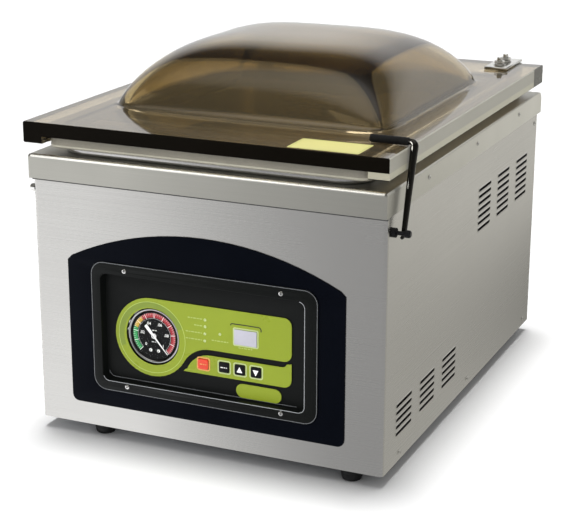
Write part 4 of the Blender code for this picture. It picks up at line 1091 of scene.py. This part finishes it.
# ---- stage
def make_stage():
    reach = 9000
    shape = prism(bmesh.new(), rectangle(-reach, reach, -reach, reach), -2.0, 0.0, "XY")
    mesh = to_mesh("floor", shape, Matrix())
    floor = add_object("floor", mesh)
    paint = Surface("floor_pale", (0.92, 0.92, 0.92), 0.6)
    paint.set("Specular IOR Level", 0.1)
    mesh.materials.append(paint.material)

    world = bpy.data.worlds.new("studio")
    bpy.context.scene.world = world
    world.use_nodes = True
    world.node_tree.nodes.clear()
    sky = Nodes(world.node_tree)
    way = sky.node("TexCoord").outputs["Generated"]
    height = sky.axes(way)["Z"]
    around = sky.ramp(height, [(0.0, 0.9), (0.15, 0.95), (0.32, 1.0), (0.46, 0.7), (0.6, 0.08), (0.88, 0.06),
                               (0.95, 0.8), (1.0, 1.2)])
    ahead = sky.ramp(height, [(0.0, 0.36), (0.2, 0.2), (0.75, 0.16), (0.9, 1.1), (1.0, 1.3)], (1.0, 0.985, 0.93))
    behind = sky.node("VectorMath", operation="DOT_PRODUCT")
    for socket, value in zip(behind.inputs, (way, (-sin(CAMERA_TURN), cos(CAMERA_TURN), 0))):
        sky.put(socket, value)
    mirrored = sky.mix(sky.remap(behind.outputs["Value"], 0, 1, -0.1, 0.6), ahead, around)
    path = sky.node("LightPath").outputs
    shown = sky.node("Background", Color=(1, 1, 1, 1), Strength=1.05).outputs[0]
    for ray, colour, strength in (("Is Diffuse Ray", (1, 1, 1, 1), 0.34),
                                  ("Is Transmission Ray", (1.0, 0.96, 0.9, 1), 0.36),
                                  ("Is Glossy Ray", mirrored, 1.0)):
        choice = sky.node("MixShader")
        lit = sky.node("Background", Color=colour, Strength=strength).outputs[0]
        for socket, value in zip(choice.inputs, (path[ray], shown, lit)):
            sky.put(socket, value)
        shown = choice.outputs[0]
    sky.node("OutputWorld", Surface=shown)

    make_cards()
    sun = bpy.data.lights.new("overhead", "SUN")
    sun.energy, sun.angle = 2.95, radians(15)
    overhead = add_object("overhead", sun)
    overhead.rotation_euler = (radians(-4), radians(-2), 0)
    overhead.visible_glossy = overhead.visible_transmission = False
    kept_off = bpy.data.collections.new("kept_off_floor")
    kept_off.objects.link(floor)
    kept_off.collection_objects[0].light_linking.link_state = "EXCLUDE"
    for fill in (lamp("softbox_front", (300, -2600, 1500), (0, 0, 150), 2200, 60),
                 lamp("softbox_left", (-2300, -900, 1300), (0, 0, 150), 1800, 30),
                 lamp("softbox_right", (2300, -300, 1300), (0, 0, 150), 1800, 30)):
        fill.light_linking.receiver_collection = kept_off
    for target, name, place, towards, size, power in (
            (bpy.data.objects["latch_rod"], "latch_glint", (-1300, -1500, 650), (196, -215, 290), 1100, 120),
            (bpy.data.objects["deck_front_roll"], "edge_glint", (-630, -1500, 900), (0, -256, 290), 1100, 6),
            (NODES["deck"], "deck_glint", (480, 940, 60), (196, 0, 285), 700, 0.48)):
        alone = bpy.data.collections.new(name)
        alone.objects.link(target)
        glint = lamp(name, place, towards, size, power, True)
        glint.light_linking.receiver_collection = alone
        glint.visible_camera = glint.visible_transmission = False
    inside = lamp("chamber_fill", (0, -20, 318), (0, -20, 200), 200, 0.07)
    inside.visible_camera = inside.visible_transmission = False


CARD_LIFT = 0.0004


def reflector(name, x_range, y_range, value_of, stops, tint):
    """A graded sheet lying on the floor, which only glossy surfaces see."""
    mesh = bpy.data.meshes.new(name)
    mesh.from_pydata([(x, y, CARD_LIFT) for x, y in rectangle(*x_range, *y_range)], [], [(0, 1, 2, 3)])
    card = add_object(name, mesh)
    card.visible_camera = card.visible_diffuse = card.visible_transmission = card.visible_shadow = False
    paper = bpy.data.materials.new(name)
    paper.use_nodes = True
    paper.node_tree.nodes.clear()
    sheet = Nodes(paper.node_tree)
    value = value_of(sheet, sheet.axes(sheet.node("TexCoord").outputs["Object"]))
    glow = sheet.node("Emission", Color=sheet.ramp(value, stops, tint), Strength=1.5)
    sheet.node("OutputMaterial", Surface=glow.outputs[0])
    mesh.materials.append(paper)


def make_cards():
    """Bright to the front left of the machine, falling off to its front right; even at its side."""
    def fan(sheet, place):
        """Spokes about a point behind the machine, 0 at its left corner and 1 at its right."""
        across = sheet.math("SUBTRACT", place["X"], 0.664)
        away = sheet.math("SUBTRACT", 1.064, place["Y"])
        spoke = sheet.math("ADD", sheet.math("DIVIDE", across, away), sheet.math("MULTIPLY", away, 0.0286))
        return sheet.math("MULTIPLY", sheet.math("ADD", spoke, 0.592), 3.5)

    def outward(sheet, place):
        """Even beside the front of the machine; further back it is dark near the side and bright farther out."""
        out = sheet.math("MULTIPLY", sheet.math("SUBTRACT", place["X"], 0.312), 3.57)
        slope = sheet.math("MULTIPLY", sheet.clamp(out, -0.45, 0.17), sheet.clamp(place["Y"], 0.0, 0.8))
        return sheet.math("ADD", slope, 0.38)

    reflector("card_front", (-6, 6), (-6, -0.25), fan,
              [(0.0, 1.0), (0.24, 0.95), (0.33, 0.80), (0.44, 0.66), (0.57, 0.53), (0.67, 0.44), (0.78, 0.37),
               (0.9, 0.345), (1.0, 0.35)], (1.0, 1.01, 1.05))
    reflector("card_side", (0.18, 6), (-0.25, 6), outward, [(0.0, 0.0), (1.0, 1.0)], (1.0, 0.985, 0.925))


def lamp(name, place, target, size, power, glossy=False):
    light = bpy.data.lights.new(name, "AREA")
    light.shape, light.size, light.energy = "SQUARE", size * MM, power
    obj = add_object(name, light)
    obj.location = at(*place)
    obj.rotation_mode = "QUATERNION"
    obj.rotation_quaternion = (at(*target) - obj.location).to_track_quat("-Z", "Y")
    obj.visible_glossy = glossy
    return obj


make_looks()
dress_cad_nodes()
build_lid()
build_gasket()
build_label()
build_latch()
build_feet()
build_fasteners()
build_hinge_nuts()
build_deck_roll()
build_seam()
build_louvre_edges()
build_bezel()
build_gauge()
build_prints()
build_needle()
build_back()
make_stage()
make_camera()
bpy.context.scene.view_settings.view_transform = "Standard"
